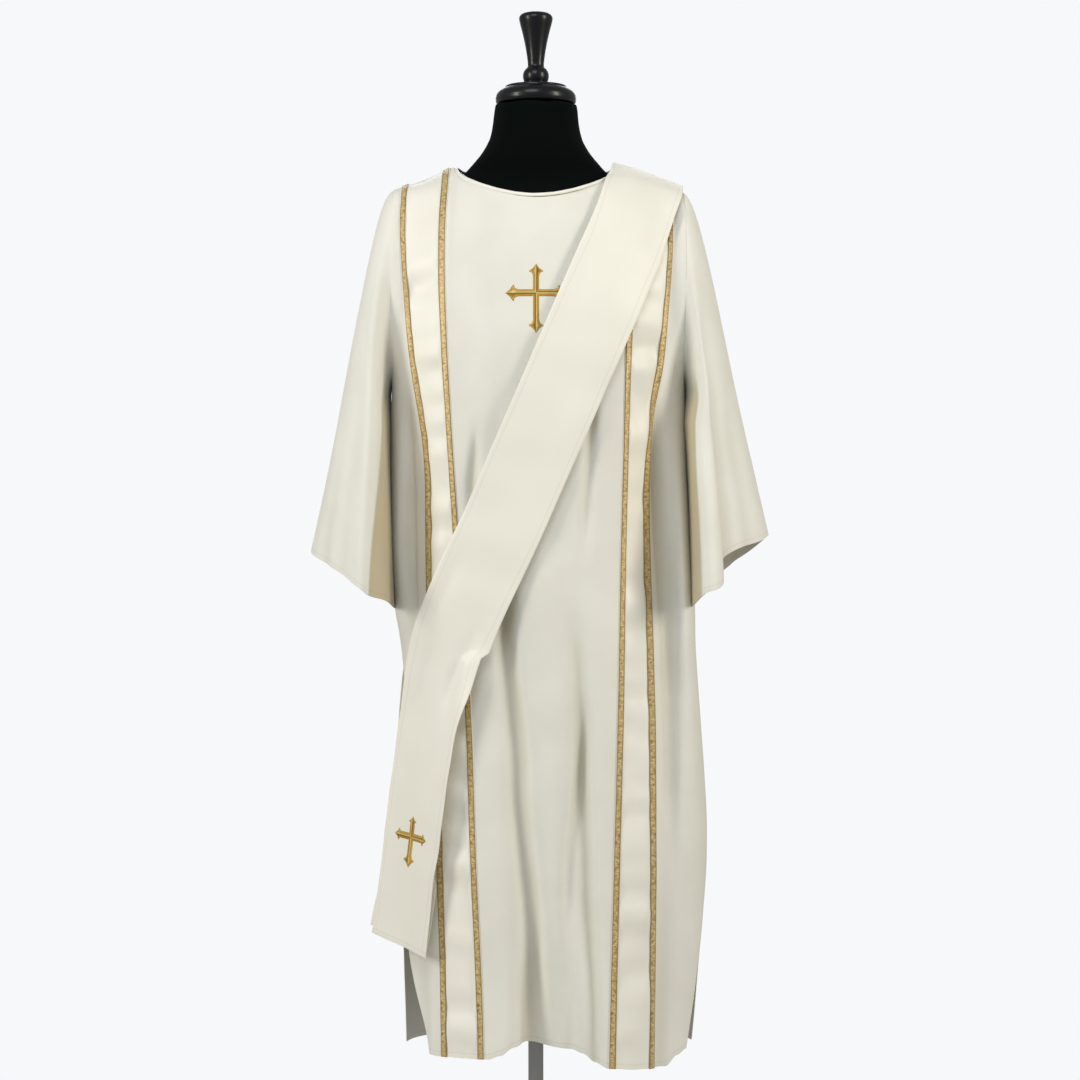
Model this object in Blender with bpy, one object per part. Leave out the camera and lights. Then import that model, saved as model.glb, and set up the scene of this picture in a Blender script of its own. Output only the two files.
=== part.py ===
"""Deacon's dalmatic with its matching stole, worn on a limbless dress form.

Metres, +Z up. The front faces -Y and +X is the viewer's right (the wearer's left).
The origin is the centre of the base plate's underside, on the floor.
Angles run round the garment: 0 is the centre front, +90 the right side, 180 the centre back.
Levels run up a panel: 0 is the hem, 1 the underarm, 2 the shoulder seam or the neckline.
"""

import math

import bmesh
import bpy
from mathutils import Vector

LEFT = -1
RIGHT = 1
FRONT = -1
BACK = 1

# Cloth thicknesses and the gaps between pieces.
GAP = 0.0003
CLOTH = 0.0018
BAND_CLOTH = 0.0010
BRAID_THICKNESS = 0.0010
STOLE_CLOTH = 0.0016
EMBROIDERY = 0.0016

# Heights.
HEM = 0.184
UNDERARM = 1.13
NECK_TOP = 1.4505

# Neck opening and shoulders. The binding carries on from the panels' neck edge into the opening.
NECK_HALF = 0.118
NECK_REACH = {FRONT: 0.102, BACK: 0.090}
NECK_DROP = {FRONT: 0.050, BACK: 0.014}
BINDING_WIDTH = 0.0048
BINDING_THICKNESS = 0.0022
SHOULDER_TIP = {LEFT: 0.206, RIGHT: 0.214}
SHOULDER_SLOPE = 0.38
ARMHOLE_REACH = 0.088
# How late the cloth turns back over the chest, and how much fuller it is under the shoulders.
CHEST_ROLL = 2.6
SHOULDER_FULLNESS = 0.9
# Where a column starts to follow the armhole's oval, as a share of the shoulder's width.
OVAL_START = 0.78
# Folds fade towards the side seams, below this cosine of the angle.
FOLD_FADE = 0.25

# The garment's body: half widths and depths at each height, as (height, size).
ROUNDNESS = 2 / 2.3
HALF_WIDTH = {
    LEFT: (
        (0.17, 0.188), (0.30, 0.193), (0.50, 0.194), (0.66, 0.189), (0.73, 0.189), (0.78, 0.2005),
        (0.83, 0.2080), (0.95, 0.2095), (1.13, 0.207)),
    RIGHT: ((0.17, 0.226), (0.30, 0.238), (0.48, 0.250), (0.68, 0.237), (0.80, 0.229), (1.13, 0.2135)),
}
DEPTH = {
    FRONT: ((0.17, 0.130), (0.50, 0.132), (0.80, 0.136), (1.00, 0.142), (1.13, 0.148)),
    BACK: ((0.17, 0.128), (0.60, 0.122), (0.90, 0.120), (1.13, 0.128)),
}

# The side slits: how far each edge has swung from the side seam, in degrees, as (height, angle).
SLIT_TOP = 0.46
SLIT_SWING = {
    (LEFT, FRONT): ((0.18, 37), (0.32, 19), (SLIT_TOP, 0)),
    (RIGHT, FRONT): ((0.18, 19), (0.32, 9), (SLIT_TOP, 0)),
    (LEFT, BACK): ((0.18, 3), (SLIT_TOP, 0)),
    (RIGHT, BACK): ((0.18, 4), (SLIT_TOP, 0)),
}

# Vertical folds: the line that each follows as (height, x), how far it pushes the cloth
# inwards as (height, depth), and its half width. A negative depth is a ridge.
FOLDS = {
    FRONT: (
        (((0.4, -0.183), (1.1, -0.181)), ((0.45, 0), (0.6, 0.006), (0.8, 0.024), (1.0, 0.02), (1.15, 0)), 0.024),
        (((0.4, -0.198), (1.1, -0.199)), ((0.74, 0), (0.84, -0.016), (1.0, -0.016), (1.12, 0)), 0.012),
        (((0.5, 0.192), (0.7, 0.188), (1.05, 0.178)),
         ((0.17, 0.008), (0.35, 0.004), (0.5, 0.01), (0.7, 0.028), (0.95, 0.028), (1.2, 0)), 0.026),
        (((0.5, 0.222), (1.05, 0.208)), ((0.3, 0), (0.6, -0.012), (0.95, -0.018), (1.12, 0)), 0.013),
        (((0.17, 0.004), (0.41, -0.013), (0.76, -0.040)),
         ((0.17, 0.040), (0.40, 0.020), (0.70, 0.007), (0.85, 0)), 0.020),
        (((0.17, 0.046), (0.41, 0.048), (0.70, 0.072)), ((0.17, 0.030), (0.41, 0.015), (0.74, 0)), 0.020),
        (((0.17, 0.025), (0.41, 0.020)), ((0.17, 0.016), (0.36, 0)), 0.050),
    ),
    BACK: (
        (((0.17, -0.070), (0.9, -0.050)), ((0.17, 0.034), (0.5, 0.016), (0.75, 0)), 0.024),
        (((0.17, 0.030), (1.0, 0.025)), ((0.17, 0.040), (0.5, 0.020), (0.78, 0)), 0.024),
        (((0.17, 0.138), (0.9, 0.130)), ((0.17, 0.024), (0.5, 0.018), (0.80, 0)), 0.022),
        (((0.17, -0.172), (0.9, -0.170)), ((0.17, 0.010), (0.5, 0.016), (1.05, 0)), 0.020),
        (((0.17, 0.198), (0.9, 0.186)), ((0.17, 0.010), (0.5, 0.018), (1.05, 0)), 0.020),
    ),
}

# Braids: the centre line of each as (height, x), and the braid's width.
BRAID_WIDTH = 0.0098
BRAID_LINES = {
    (FRONT, LEFT, "outer"): (
        (0.19, -0.130), (0.47, -0.136), (0.80, -0.149), (0.95, -0.152), (1.04, -0.152), (1.12, -0.168),
        (1.22, -0.181), (1.36, -0.192), (1.42, -0.190)),
    (FRONT, LEFT, "inner"): (
        (0.18, -0.076), (0.48, -0.088), (0.67, -0.094), (0.92, -0.112), (1.13, -0.125), (1.31, -0.132),
        (1.445, -0.128)),
    (FRONT, RIGHT, "inner"): (
        (0.18, 0.1065), (0.40, 0.112), (0.68, 0.119), (0.88, 0.123), (1.13, 0.129), (1.31, 0.133),
        (1.445, 0.129)),
    (FRONT, RIGHT, "outer"): (
        (0.17, 0.167), (0.54, 0.165), (0.69, 0.164), (0.86, 0.160), (0.96, 0.157), (1.05, 0.160),
        (1.13, 0.174), (1.21, 0.182), (1.33, 0.193), (1.42, 0.192)),
    (BACK, LEFT, "outer"): ((0.17, -0.148), (0.70, -0.156), (1.10, -0.170), (1.42, -0.190)),
    (BACK, LEFT, "inner"): ((0.17, -0.088), (0.70, -0.100), (1.10, -0.118), (1.445, -0.128)),
    (BACK, RIGHT, "inner"): ((0.17, 0.108), (0.70, 0.112), (1.10, 0.120), (1.445, 0.129)),
    (BACK, RIGHT, "outer"): ((0.17, 0.168), (0.70, 0.168), (1.10, 0.173), (1.42, 0.192)),
}

# Rows up the panels and columns across their plain stretches, as shares of each stretch.
LEVELS = {
    FRONT: (0, 0.1, 0.2, 0.3, 0.4, 0.5, 0.6, 0.7, 0.8, 0.9, 1, 1.12, 1.3, 1.5, 1.68, 1.82, 1.92, 1.97, 2),
    BACK: (0, 0.14, 0.28, 0.42, 0.56, 0.7, 0.85, 1, 1.15, 1.4, 1.65, 1.82, 1.92, 1.97, 2),
}
SIDE_SHARES = {FRONT: (0, 0.15, 0.32, 0.5, 0.68, 0.85), BACK: (0, 0.25, 0.5, 0.75)}
CENTRE_SHARES = {
    FRONT: (0.05, 0.12, 0.21, 0.31, 0.41, 0.5, 0.59, 0.69, 0.79, 0.88, 0.95),
    BACK: (0.06, 0.15, 0.28, 0.4, 0.5, 0.6, 0.72, 0.85, 0.94),
}

# Cuffs: points round each hanging opening, from its outer edge to the front and back again.
CUFFS = {
    LEFT: (
        (-0.326, 0.010, 0.895), (-0.316, -0.085, 0.886), (-0.280, -0.150, 0.866), (-0.232, -0.178, 0.832),
        (-0.2095, -0.090, 0.808), (-0.2085, 0.000, 0.800), (-0.212, 0.090, 0.810), (-0.236, 0.176, 0.838),
        (-0.286, 0.150, 0.868), (-0.318, 0.095, 0.885)),
    RIGHT: (
        (0.339, 0.010, 0.918), (0.318, -0.075, 0.905), (0.274, -0.112, 0.893), (0.268, -0.148, 0.853),
        (0.243, -0.172, 0.834), (0.2345, -0.085, 0.815), (0.2315, 0.000, 0.806), (0.2345, 0.090, 0.812),
        (0.254, 0.174, 0.840), (0.322, 0.110, 0.895)),
}
# How a sleeve leaves the shoulder, and how it drops to the cuff at its top edge and elsewhere.
SLEEVE_START = {LEFT: 0.014, RIGHT: 0.007}
SLEEVE_START_TOP = 0.018
SLEEVE_DROP = 0.12
SLEEVE_DROP_TOP = 0.16
SLEEVE_REACH_TOP = 0.066
SLEEVE_COLUMNS = 20
SLEEVE_GATHER = 0.012
SLEEVE_ROWS = (0, 0.05, 0.12, 0.2, 0.3, 0.42, 0.55, 0.68, 0.82, 1)

# Stole: its edges on the front as ((x, height), (x, height)), from the shoulder to the hip.
STOLE_WIDTH = 0.115
STOLE_LIFT = ((0.0, 0.0066), (0.25, 0.0080), (0.8, 0.0105), (1.0, 0.0140))
STOLE_FRONT_EDGES = (
    ((0.112, 1.4505), (0.2130, 1.4145)), ((0.108, 1.440), (0.211, 1.402)), ((0.102, 1.425), (0.206, 1.384)),
    ((0.094, 1.405), (0.199, 1.362)), ((0.083, 1.378), (0.186, 1.332)), ((0.066, 1.338), (0.169, 1.292)),
    ((0.045, 1.288), (0.148, 1.244)), ((0.0205, 1.230), (0.124, 1.186)), ((-0.004, 1.172), (0.099, 1.128)),
    ((-0.029, 1.113), (0.075, 1.070)), ((-0.054, 1.055), (0.050, 1.012)), ((-0.078, 0.996), (0.025, 0.953)),
    ((-0.102, 0.938), (0.000, 0.895)), ((-0.127, 0.885), (-0.025, 0.842)), ((-0.149, 0.830), (-0.049, 0.790)),
    ((-0.170, 0.768), (-0.068, 0.738)),
)
# The tails: each edge as (x, y, height), from the hip to the lower end, the left edge first.
TAIL_EDGES = {
    FRONT: (
        ((-0.188, -0.078, 0.700), (-0.092, -0.148, 0.680)), ((-0.197, -0.068, 0.640), (-0.112, -0.146, 0.640)),
        ((-0.2040, -0.064, 0.590), (-0.1235, -0.144, 0.583)), ((-0.2120, -0.059, 0.530), (-0.1300, -0.139, 0.530)),
        ((-0.2180, -0.054, 0.478), (-0.1365, -0.135, 0.470)), ((-0.2260, -0.047, 0.410), (-0.1470, -0.128, 0.415)),
        ((-0.2360, -0.040, 0.345), (-0.1560, -0.121, 0.320))),
    BACK: (
        ((-0.2240, -0.030, 0.414), (-0.138, -0.122, 0.440)), ((-0.2325, -0.030, 0.385), (-0.143, -0.115, 0.393)),
        ((-0.2390, -0.028, 0.355), (-0.155, -0.109, 0.331))),
}
TAIL_CLEARANCE = {FRONT: 0.0150, BACK: 0.0095}
# The back half's centre line, unrolled: (distance round from the centre back, height).
STOLE_BACK_START = (0.163, 1.4320)
STOLE_BACK_END = (-0.290, 0.455)
# The back half lifts clear of the shoulder seam within the first share of its length, and
# its rows turn from the seam's line to square within the second.
STOLE_BACK_EXTRA_LIFT = 0.0025
STOLE_BACK_LIFTED = 0.04
STOLE_BACK_SQUARE = 0.12
STOLE_BACK_STEPS = (
    0, 0.012, 0.026, 0.042, 0.06, 0.085, 0.12, 0.17, 0.23, 0.3, 0.38, 0.46, 0.54, 0.62, 0.7, 0.77, 0.84, 0.9,
    0.95, 1)
STOLE_COLUMNS = 4

# Crosses: half width of a bar, and the half width along an arm's flowered end.
CROSS_BAR = 0.0052
CROSS_END = ((-0.021, 0.0052), (-0.0135, 0.0135), (-0.0105, 0.0068), (-0.0045, 0.0048), (0.0, 0.0008))
CHEST_CROSS = (0.0005, 1.2555)
CHEST_CROSS_ARMS = (0.0415, 0.0425, 0.0565)
STOLE_CROSS_ARMS = (0.030, 0.033, 0.046)

# Dress form: (height, half width, half depth), from the torso's underside to the neck.
FORM_RINGS = (
    (0.740, 0.160, 0.098), (0.748, 0.168, 0.105), (0.80, 0.172, 0.108), (0.88, 0.168, 0.106),
    (1.00, 0.160, 0.100), (1.13, 0.178, 0.116), (1.25, 0.187, 0.108), (1.33, 0.189, 0.092),
    (1.375, 0.187, 0.078), (1.40, 0.180, 0.067), (1.412, 0.164, 0.056), (1.422, 0.143, 0.050),
    (1.430, 0.1240, 0.048), (1.438, 0.1065, 0.048), (1.446, 0.0985, 0.049), (1.453, 0.0925, 0.052),
    (1.467, 0.0800, 0.055), (1.489, 0.0665, 0.056), (1.515, 0.0620, 0.056), (1.5395, 0.0605, 0.055),
)
FORM_SQUARENESS = 0.93
FORM_SEGMENTS = 28
TURNED_SEGMENTS = 24
CAP_PROFILE = (
    (0.0, 1.5398), (0.0540, 1.5398), (0.0575, 1.5425), (0.0590, 1.5470), (0.0590, 1.5530), (0.0570, 1.5570),
    (0.0520, 1.5590), (0.0500, 1.5625), (0.0470, 1.5665), (0.0440, 1.5680), (0.0, 1.5680))
FINIAL_PROFILE = (
    (0.0, 1.5683), (0.0150, 1.5683), (0.0155, 1.5740), (0.0150, 1.5770), (0.0178, 1.5800), (0.0185, 1.5845),
    (0.0175, 1.5890), (0.0130, 1.5915), (0.0108, 1.5935), (0.0128, 1.5955), (0.0150, 1.6100),
    (0.0196, 1.6350), (0.0236, 1.6560), (0.0250, 1.6610), (0.0243, 1.6665), (0.0215, 1.6715),
    (0.0170, 1.6738), (0.0, 1.6745))
POLE_RADIUS = 0.011
BASE_PROFILE = (
    (0.0, 0.0), (0.1600, 0.0), (0.1600, 0.0070), (0.1570, 0.0110), (0.1500, 0.0130), (0.0, 0.0130))
COLLAR_PROFILE = (
    (0.0, 0.0133), (0.0300, 0.0133), (0.0300, 0.0180), (0.0260, 0.0210), (0.0190, 0.0230), (0.0190, 0.0440),
    (0.0175, 0.0460), (0.0, 0.0460))
POLE_FOOT = 0.0463
POLE_HEAD = 0.7397


def clear_scene():
    for obj in list(bpy.data.objects):
        bpy.data.objects.remove(obj, do_unlink=True)


def material(name, colour, roughness, metallic=0.0):
    made = bpy.data.materials.new(name)
    made.use_nodes = True
    shader = made.node_tree.nodes["Principled BSDF"]
    shader.inputs["Base Color"].default_value = (*colour, 1)
    shader.inputs["Roughness"].default_value = roughness
    shader.inputs["Metallic"].default_value = metallic
    return made


def along(points, at):
    """The value at one place on a smooth line through (place, value) points."""
    if at <= points[0][0]:
        return points[0][1]
    if at >= points[-1][0]:
        return points[-1][1]
    high = next(i for i, point in enumerate(points) if point[0] >= at)
    low = high - 1
    (x0, y0), (x1, y1) = points[low], points[high]
    before = points[max(low - 1, 0)]
    after = points[min(high + 1, len(points) - 1)]
    span = x1 - x0
    slope0 = (y1 - before[1]) / (x1 - before[0]) if low else 0
    slope1 = (after[1] - y0) / (after[0] - x0) if high < len(points) - 1 else 0
    t = (at - x0) / span
    return (
        (2 * t**3 - 3 * t**2 + 1) * y0
        + (t**3 - 2 * t**2 + t) * span * slope0
        + (3 * t**2 - 2 * t**3) * y1
        + (t**3 - t**2) * span * slope1
    )


def smooth(t):
    t = min(max(t, 0), 1)
    return t * t * (3 - 2 * t)


def side_of(value):
    return RIGHT if value >= 0 else LEFT


def facing_of(angle):
    return FRONT if math.cos(angle) >= 0 else BACK


def ring_point(angle, height):
    """The garment's body at a height, with no folds."""
    s, c = math.sin(angle), math.cos(angle)
    half = along(HALF_WIDTH[side_of(s)], height)
    facing = facing_of(angle)
    depth = along(DEPTH[facing], height)
    return Vector((side_of(s) * half * abs(s) ** ROUNDNESS, facing * depth * abs(c) ** ROUNDNESS, height))


def angle_at(x, height, facing):
    """The angle whose ring point has this x."""
    half = along(HALF_WIDTH[side_of(x)], min(height, UNDERARM))
    angle = math.asin(min((abs(x) / half) ** (1 / ROUNDNESS), 1)) * side_of(x)
    return angle if facing == FRONT else math.pi - angle


def top_point(x, facing):
    """Where a column ends: on the neckline, or on the shoulder seam."""
    across = abs(x) / NECK_HALF
    if across < 1:
        bow = math.sqrt(1 - across**2)
        return Vector((x, facing * NECK_REACH[facing] * bow**0.8, NECK_TOP - NECK_DROP[facing] * bow))
    return Vector((x, 0, NECK_TOP - SHOULDER_SLOPE * (abs(x) - NECK_HALF)))


def chest_point(angle, share):
    """The garment between the underarm (share 0) and the top of its column (share 1)."""
    base = ring_point(angle, UNDERARM)
    facing = facing_of(angle)
    widest = along(HALF_WIDTH[side_of(base.x)], UNDERARM)
    tip = SHOULDER_TIP[side_of(base.x)]
    top = top_point(base.x / widest * tip, facing)
    shoulder = smooth((abs(top.x) / NECK_HALF - 0.7) / 0.4)
    roll = (1 - share**CHEST_ROLL) ** (1 / (1 + SHOULDER_FULLNESS * shoulder))
    y = top.y + (base.y - top.y) * roll
    edge = smooth((abs(top.x) / tip - OVAL_START) / (1 - OVAL_START))
    oval = facing * math.hypot(base.y * (1 - share), 2 * ARMHOLE_REACH * math.sqrt(share * (1 - share)))
    y += (oval - y) * edge
    return Vector((base.x + (top.x - base.x) * share, y, base.z + (top.z - base.z) * share))


def push(x, height, facing):
    """How far the folds push the cloth inwards."""
    total = 0
    for line, depth, half in FOLDS[facing]:
        total += along(depth, height) * math.exp(-(((x - along(line, height)) / half) ** 2))
    return total


def garment_point(angle, level):
    """A point on the garment's outer face."""
    facing = facing_of(angle)
    if level <= 1:
        point = ring_point(angle, HEM + (UNDERARM - HEM) * level)
    else:
        point = chest_point(angle, level - 1)
    seam = smooth(abs(math.cos(angle)) / FOLD_FADE)
    point.y -= facing * push(point.x, point.z, facing) * seam
    return point


def outward(surface, a, b, limits):
    """The outward normal of a surface(a, b) at one place, from its neighbours."""
    (a_low, a_high), (b_low, b_high) = limits
    a0, a1 = max(a - 0.005, a_low), min(a + 0.005, a_high)
    b0, b1 = max(b - 0.02, b_low), min(b + 0.02, b_high)
    across = surface(a1, b) - surface(a0, b)
    up = surface(a, b1) - surface(a, b0)
    return across.cross(up).normalized()


def garment_normal(angle, level, edge=False):
    """The outward normal, square to the seam where the place is on one."""
    half_turn = (-math.pi / 2, math.pi / 2) if facing_of(angle) == FRONT else (math.pi / 2, 1.5 * math.pi)
    normal = outward(garment_point, angle, level, (half_turn, (0, 2)))
    if edge and level > 1:
        normal.x = 0
    elif edge:
        normal.y = 0
    x = garment_point(angle, level).x
    if level >= 2 and abs(x) >= NECK_HALF - 0.001:
        normal = Vector((side_of(x) * SHOULDER_SLOPE, 0, 1))
    return normal.normalized()


def edge_angle(side, facing, level):
    """The angle of a panel's side edge: on the seam, or swung from it below the slit's top."""
    height = HEM + (UNDERARM - HEM) * min(level, 1)
    swing = math.radians(along(SLIT_SWING[side, facing], height))
    return (math.pi / 2 - swing) * side if facing == FRONT else math.pi - (math.pi / 2 - swing) * side


def column_angle(x, level, facing):
    """The angle at which a panel has this x on this level."""
    if level <= 1:
        return angle_at(x, HEM + (UNDERARM - HEM) * level, facing)
    widest = along(HALF_WIDTH[side_of(x)], UNDERARM)
    scale = 1 + (SHOULDER_TIP[side_of(x)] / widest - 1) * (level - 1)
    return angle_at(x / scale, UNDERARM, facing)


def level_height(level):
    """The height of a level near the braids."""
    return HEM + (UNDERARM - HEM) * level if level <= 1 else UNDERARM + (1.43 - UNDERARM) * (level - 1)


def braid_edges(facing, level):
    """The angles of the braids' edges on one level, by (side, place, edge)."""
    edges = {}
    for (face, side, place), line in BRAID_LINES.items():
        if face != facing:
            continue
        middle = along(line, level_height(level))
        for end in (LEFT, RIGHT):
            edges[side, place, end] = column_angle(middle + end * BRAID_WIDTH / 2, level, facing)
    return edges


def centre_shares(facing):
    """The columns between the inner braids, the first and last of which end at the neck's corners."""
    top = braid_edges(facing, 2)
    start, end = top[LEFT, "inner", RIGHT], top[RIGHT, "inner", LEFT]
    corners = [column_angle(side * NECK_HALF, 2, facing) for side in (LEFT, RIGHT)]
    first, last = [(corner - start) / (end - start) for corner in corners]
    return (first, *CENTRE_SHARES[facing], last)


def panel_columns(facing, level):
    """The angles of a panel's columns on one level, with the names of those that edge a braid."""
    edges = braid_edges(facing, level)
    names = []
    angles = []

    def add(angle, name=None):
        angles.append(angle)
        names.append(name)

    def spread(start, end, shares):
        for share in shares:
            add(start + (end - start) * share)

    def braid(side, place):
        add(edges[side, place, LEFT], (side, place, LEFT))
        add(edges[side, place, RIGHT], (side, place, RIGHT))

    spread(edge_angle(LEFT, facing, level), edges[LEFT, "outer", LEFT], SIDE_SHARES[facing])
    braid(LEFT, "outer")
    spread(edges[LEFT, "outer", RIGHT], edges[LEFT, "inner", LEFT], (0.5,))
    braid(LEFT, "inner")
    spread(edges[LEFT, "inner", RIGHT], edges[RIGHT, "inner", LEFT], centre_shares(facing))
    braid(RIGHT, "inner")
    spread(edges[RIGHT, "inner", RIGHT], edges[RIGHT, "outer", LEFT], (0.5,))
    braid(RIGHT, "outer")
    spread(edge_angle(RIGHT, facing, level), edges[RIGHT, "outer", RIGHT], SIDE_SHARES[facing])
    last = len(SIDE_SHARES[facing])
    angles[-last:] = reversed(angles[-last:])
    return (angles, names) if facing == FRONT else (angles[::-1], names[::-1])


def panel_grid(facing):
    """The panel's outer points and normals, row by row, and the columns that edge the braids."""
    rows = []
    for level in LEVELS[facing]:
        angles, names = panel_columns(facing, level)
        row = []
        for i, angle in enumerate(angles):
            side_edge = i in (0, len(angles) - 1)
            on_seam = side_edge and level_height(level) >= SLIT_TOP
            point = garment_point(angle, level)
            normal = garment_normal(angle, level, on_seam)
            if on_seam and level <= 1:
                point.y = facing * GAP / 2
            if level == 2 and abs(point.x) >= NECK_HALF - 0.001:
                point.y = facing * GAP / 2
            row.append((point, normal))
        rows.append(row)
    return rows, {name: i for i, name in enumerate(names) if name}


def moved_out(rows, first, last, low, high):
    """Two layers of a stretch of a panel's columns, low and high above its outer face."""
    inner = [[p + n * low for p, n in row[first : last + 1]] for row in rows]
    outer = [[p + n * high for p, n in row[first : last + 1]] for row in rows]
    return outer, inner


def finish(name, bm, look, parent):
    """Turns a bmesh into a named object with its own material."""
    bmesh.ops.remove_doubles(bm, verts=bm.verts, dist=1e-6)
    bmesh.ops.recalc_face_normals(bm, faces=bm.faces)
    mesh = bpy.data.meshes.new(name)
    bm.to_mesh(mesh)
    bm.free()
    mesh.materials.append(look)
    mesh.shade_smooth()
    mesh.set_sharp_from_angle(angle=math.radians(40))
    obj = bpy.data.objects.new(name, mesh)
    obj.parent = parent
    bpy.context.scene.collection.objects.link(obj)
    return obj


def split_quad(bm, a, b, c, d):
    """Two triangles that share the diagonal a-c, so that layers made from one grid stay parallel."""
    bm.faces.new((a, b, c))
    bm.faces.new((a, c, d))


def wall(name, outer, inner, look, parent, round_and_closed=False):
    """A closed wall between two grids of points; round_and_closed joins each row's ends."""
    bm = bmesh.new()
    outside = [[bm.verts.new(p) for p in row] for row in outer]
    inside = [[bm.verts.new(p) for p in row] for row in inner]
    columns = len(outer[0])
    spans = [(i, (i + 1) % columns) for i in range(columns if round_and_closed else columns - 1)]
    for low, high in zip(range(len(outer) - 1), range(1, len(outer))):
        for layer in (outside, inside):
            for i, j in spans:
                split_quad(bm, layer[low][i], layer[low][j], layer[high][j], layer[high][i])
        if not round_and_closed:
            for i in (0, -1):
                split_quad(bm, outside[low][i], outside[high][i], inside[high][i], inside[low][i])
    for row in (0, -1):
        for i, j in spans:
            split_quad(bm, outside[row][i], outside[row][j], inside[row][j], inside[row][i])
    return finish(name, bm, look, parent)


def make_panels(looks, parent):
    """The front and back panels, and the bands and braids sewn on them."""
    for facing, word in ((FRONT, "front"), (BACK, "back")):
        rows, at = panel_grid(facing)
        outer, inner = moved_out(rows, 0, len(rows[0]) - 1, -CLOTH, 0)
        wall(f"{word}_panel", outer, inner, looks["crepe"], parent)
        for side, hand in ((LEFT, "left"), (RIGHT, "right")):
            ends = [at[side, place, end] for place in ("outer", "inner") for end in (LEFT, RIGHT)]
            outer, inner = moved_out(rows, min(ends), max(ends), GAP, GAP + BAND_CLOTH)
            wall(f"{word}_band_{hand}", outer, inner, looks["satin"], parent)
            low = 2 * GAP + BAND_CLOTH
            for place in ("outer", "inner"):
                first, last = sorted((at[side, place, LEFT], at[side, place, RIGHT]))
                outer, inner = moved_out(rows, first, last, low, low + BRAID_THICKNESS)
                wall(f"{word}_braid_{hand}_{place}", outer, inner, looks["braid"], parent)


def neck_edge(facing):
    """The points and normals of a panel's neckline, corner to corner."""
    rows, at = panel_grid(facing)
    first, last = sorted((at[LEFT, "inner", RIGHT], at[RIGHT, "inner", LEFT]))
    return rows[-1][first + 1 : last]


def make_neck_binding(look, parent):
    """A narrow folded ring that carries the panels' neck edge on into the opening."""
    ring = neck_edge(FRONT) + neck_edge(BACK)[1:-1]
    bm = bmesh.new()
    sections = []
    for i, (point, normal) in enumerate(ring):
        onward = ring[(i + 1) % len(ring)][0] - ring[i - 1][0]
        inwards = normal.cross(onward).normalized()
        near = point + inwards * GAP * 4
        far = point + inwards * BINDING_WIDTH
        low, high = -normal * CLOTH, normal * (BINDING_THICKNESS - CLOTH)
        sections.append([bm.verts.new(p) for p in (near + low, near + high, far + high, far + low)])
    for i, section in enumerate(sections):
        after = sections[(i + 1) % len(sections)]
        for j in range(4):
            k = (j + 1) % 4
            split_quad(bm, section[j], section[k], after[k], after[j])
    finish("neck_binding", bm, look, parent)


def around(points, share):
    """A point on a smooth closed line through points, at a share of the way round."""
    count = len(points)
    place = share * count
    i = int(place)
    t = place - i
    p0, p1, p2, p3 = (Vector(points[(i + k) % count]) for k in (-1, 0, 1, 2))
    return 0.5 * (
        2 * p1 + (p2 - p0) * t + (2 * p0 - 5 * p1 + 4 * p2 - p3) * t**2 + (3 * p1 - p0 - 3 * p2 + p3) * t**3
    )


def sleeve_point(side, share, down):
    """A point on a sleeve: share runs round from the top by the front, down from armhole to cuff."""
    turn = share * 2 * math.pi
    facing = FRONT if share <= 0.5 else BACK
    angle = side * math.pi / 2 if facing == FRONT else math.pi - side * math.pi / 2
    start = chest_point(angle, (1 + math.cos(turn)) / 2)
    start.y = -ARMHOLE_REACH * math.sin(turn)
    start.x += side * GAP
    end = around(CUFFS[side], share)
    top = (1 + math.cos(turn)) / 2
    first = start + Vector((
        side * (SLEEVE_START[side] + SLEEVE_START_TOP * top), -0.006 * math.sin(turn), -0.006))
    second = end + Vector((
        -side * SLEEVE_REACH_TOP * top**2, 0.012 * math.sin(turn), SLEEVE_DROP + SLEEVE_DROP_TOP * top))
    rest = 1 - down
    return rest**3 * start + 3 * rest**2 * down * first + 3 * rest * down**2 * second + down**3 * end


def sleeve_shares(side):
    """Columns round a sleeve, closer together at its front and back folds."""
    shares = []
    for i in range(SLEEVE_COLUMNS):
        share = i / SLEEVE_COLUMNS
        shares.append(share - SLEEVE_GATHER * math.sin(4 * math.pi * share + 0.6 * side))
    return shares


def make_sleeve(name, side, look, parent):
    def surface(share, down):
        return sleeve_point(side, share % 1, down)

    outer, inner = [], []
    for down in SLEEVE_ROWS:
        out_row, in_row = [], []
        for share in sleeve_shares(side):
            point = surface(share, down)
            normal = outward(surface, share, down, ((-1, 2), (0, 1))) * side
            if down == 0:
                normal.x = 0
                normal.normalize()
            out_row.append(point)
            in_row.append(point - normal * CLOTH)
        outer.append(out_row)
        inner.append(in_row)
    wall(name, outer, inner, look, parent, round_and_closed=True)


def envelope_point(angle, height):
    """The garment with no folds, at an angle and a height."""
    if height <= UNDERARM:
        return ring_point(angle, height)
    top = chest_point(angle, 1)
    share = min((height - UNDERARM) / (top.z - UNDERARM), 1)
    return chest_point(angle, share)


def over_garment(angle, height, lift):
    """A point lifted off the garment's envelope."""
    point = envelope_point(angle, height)
    limit = envelope_point(angle, 2).z
    height = min(height, limit)
    normal = outward(envelope_point, angle, height, ((-9, 9), (0, limit)))
    if limit - height < 0.002:
        normal.y = 0
        normal.normalize()
    return point + normal * lift


def front_angle(x, height):
    """The angle of an envelope point with this x on the front, also above the underarm."""
    if height <= UNDERARM:
        return angle_at(x, height, FRONT)
    widest = along(HALF_WIDTH[side_of(x)], UNDERARM)
    share = min((height - UNDERARM) / (1.43 - UNDERARM), 1)
    return angle_at(x / (1 + (SHOULDER_TIP[side_of(x)] / widest - 1) * share), UNDERARM, FRONT)


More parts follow.
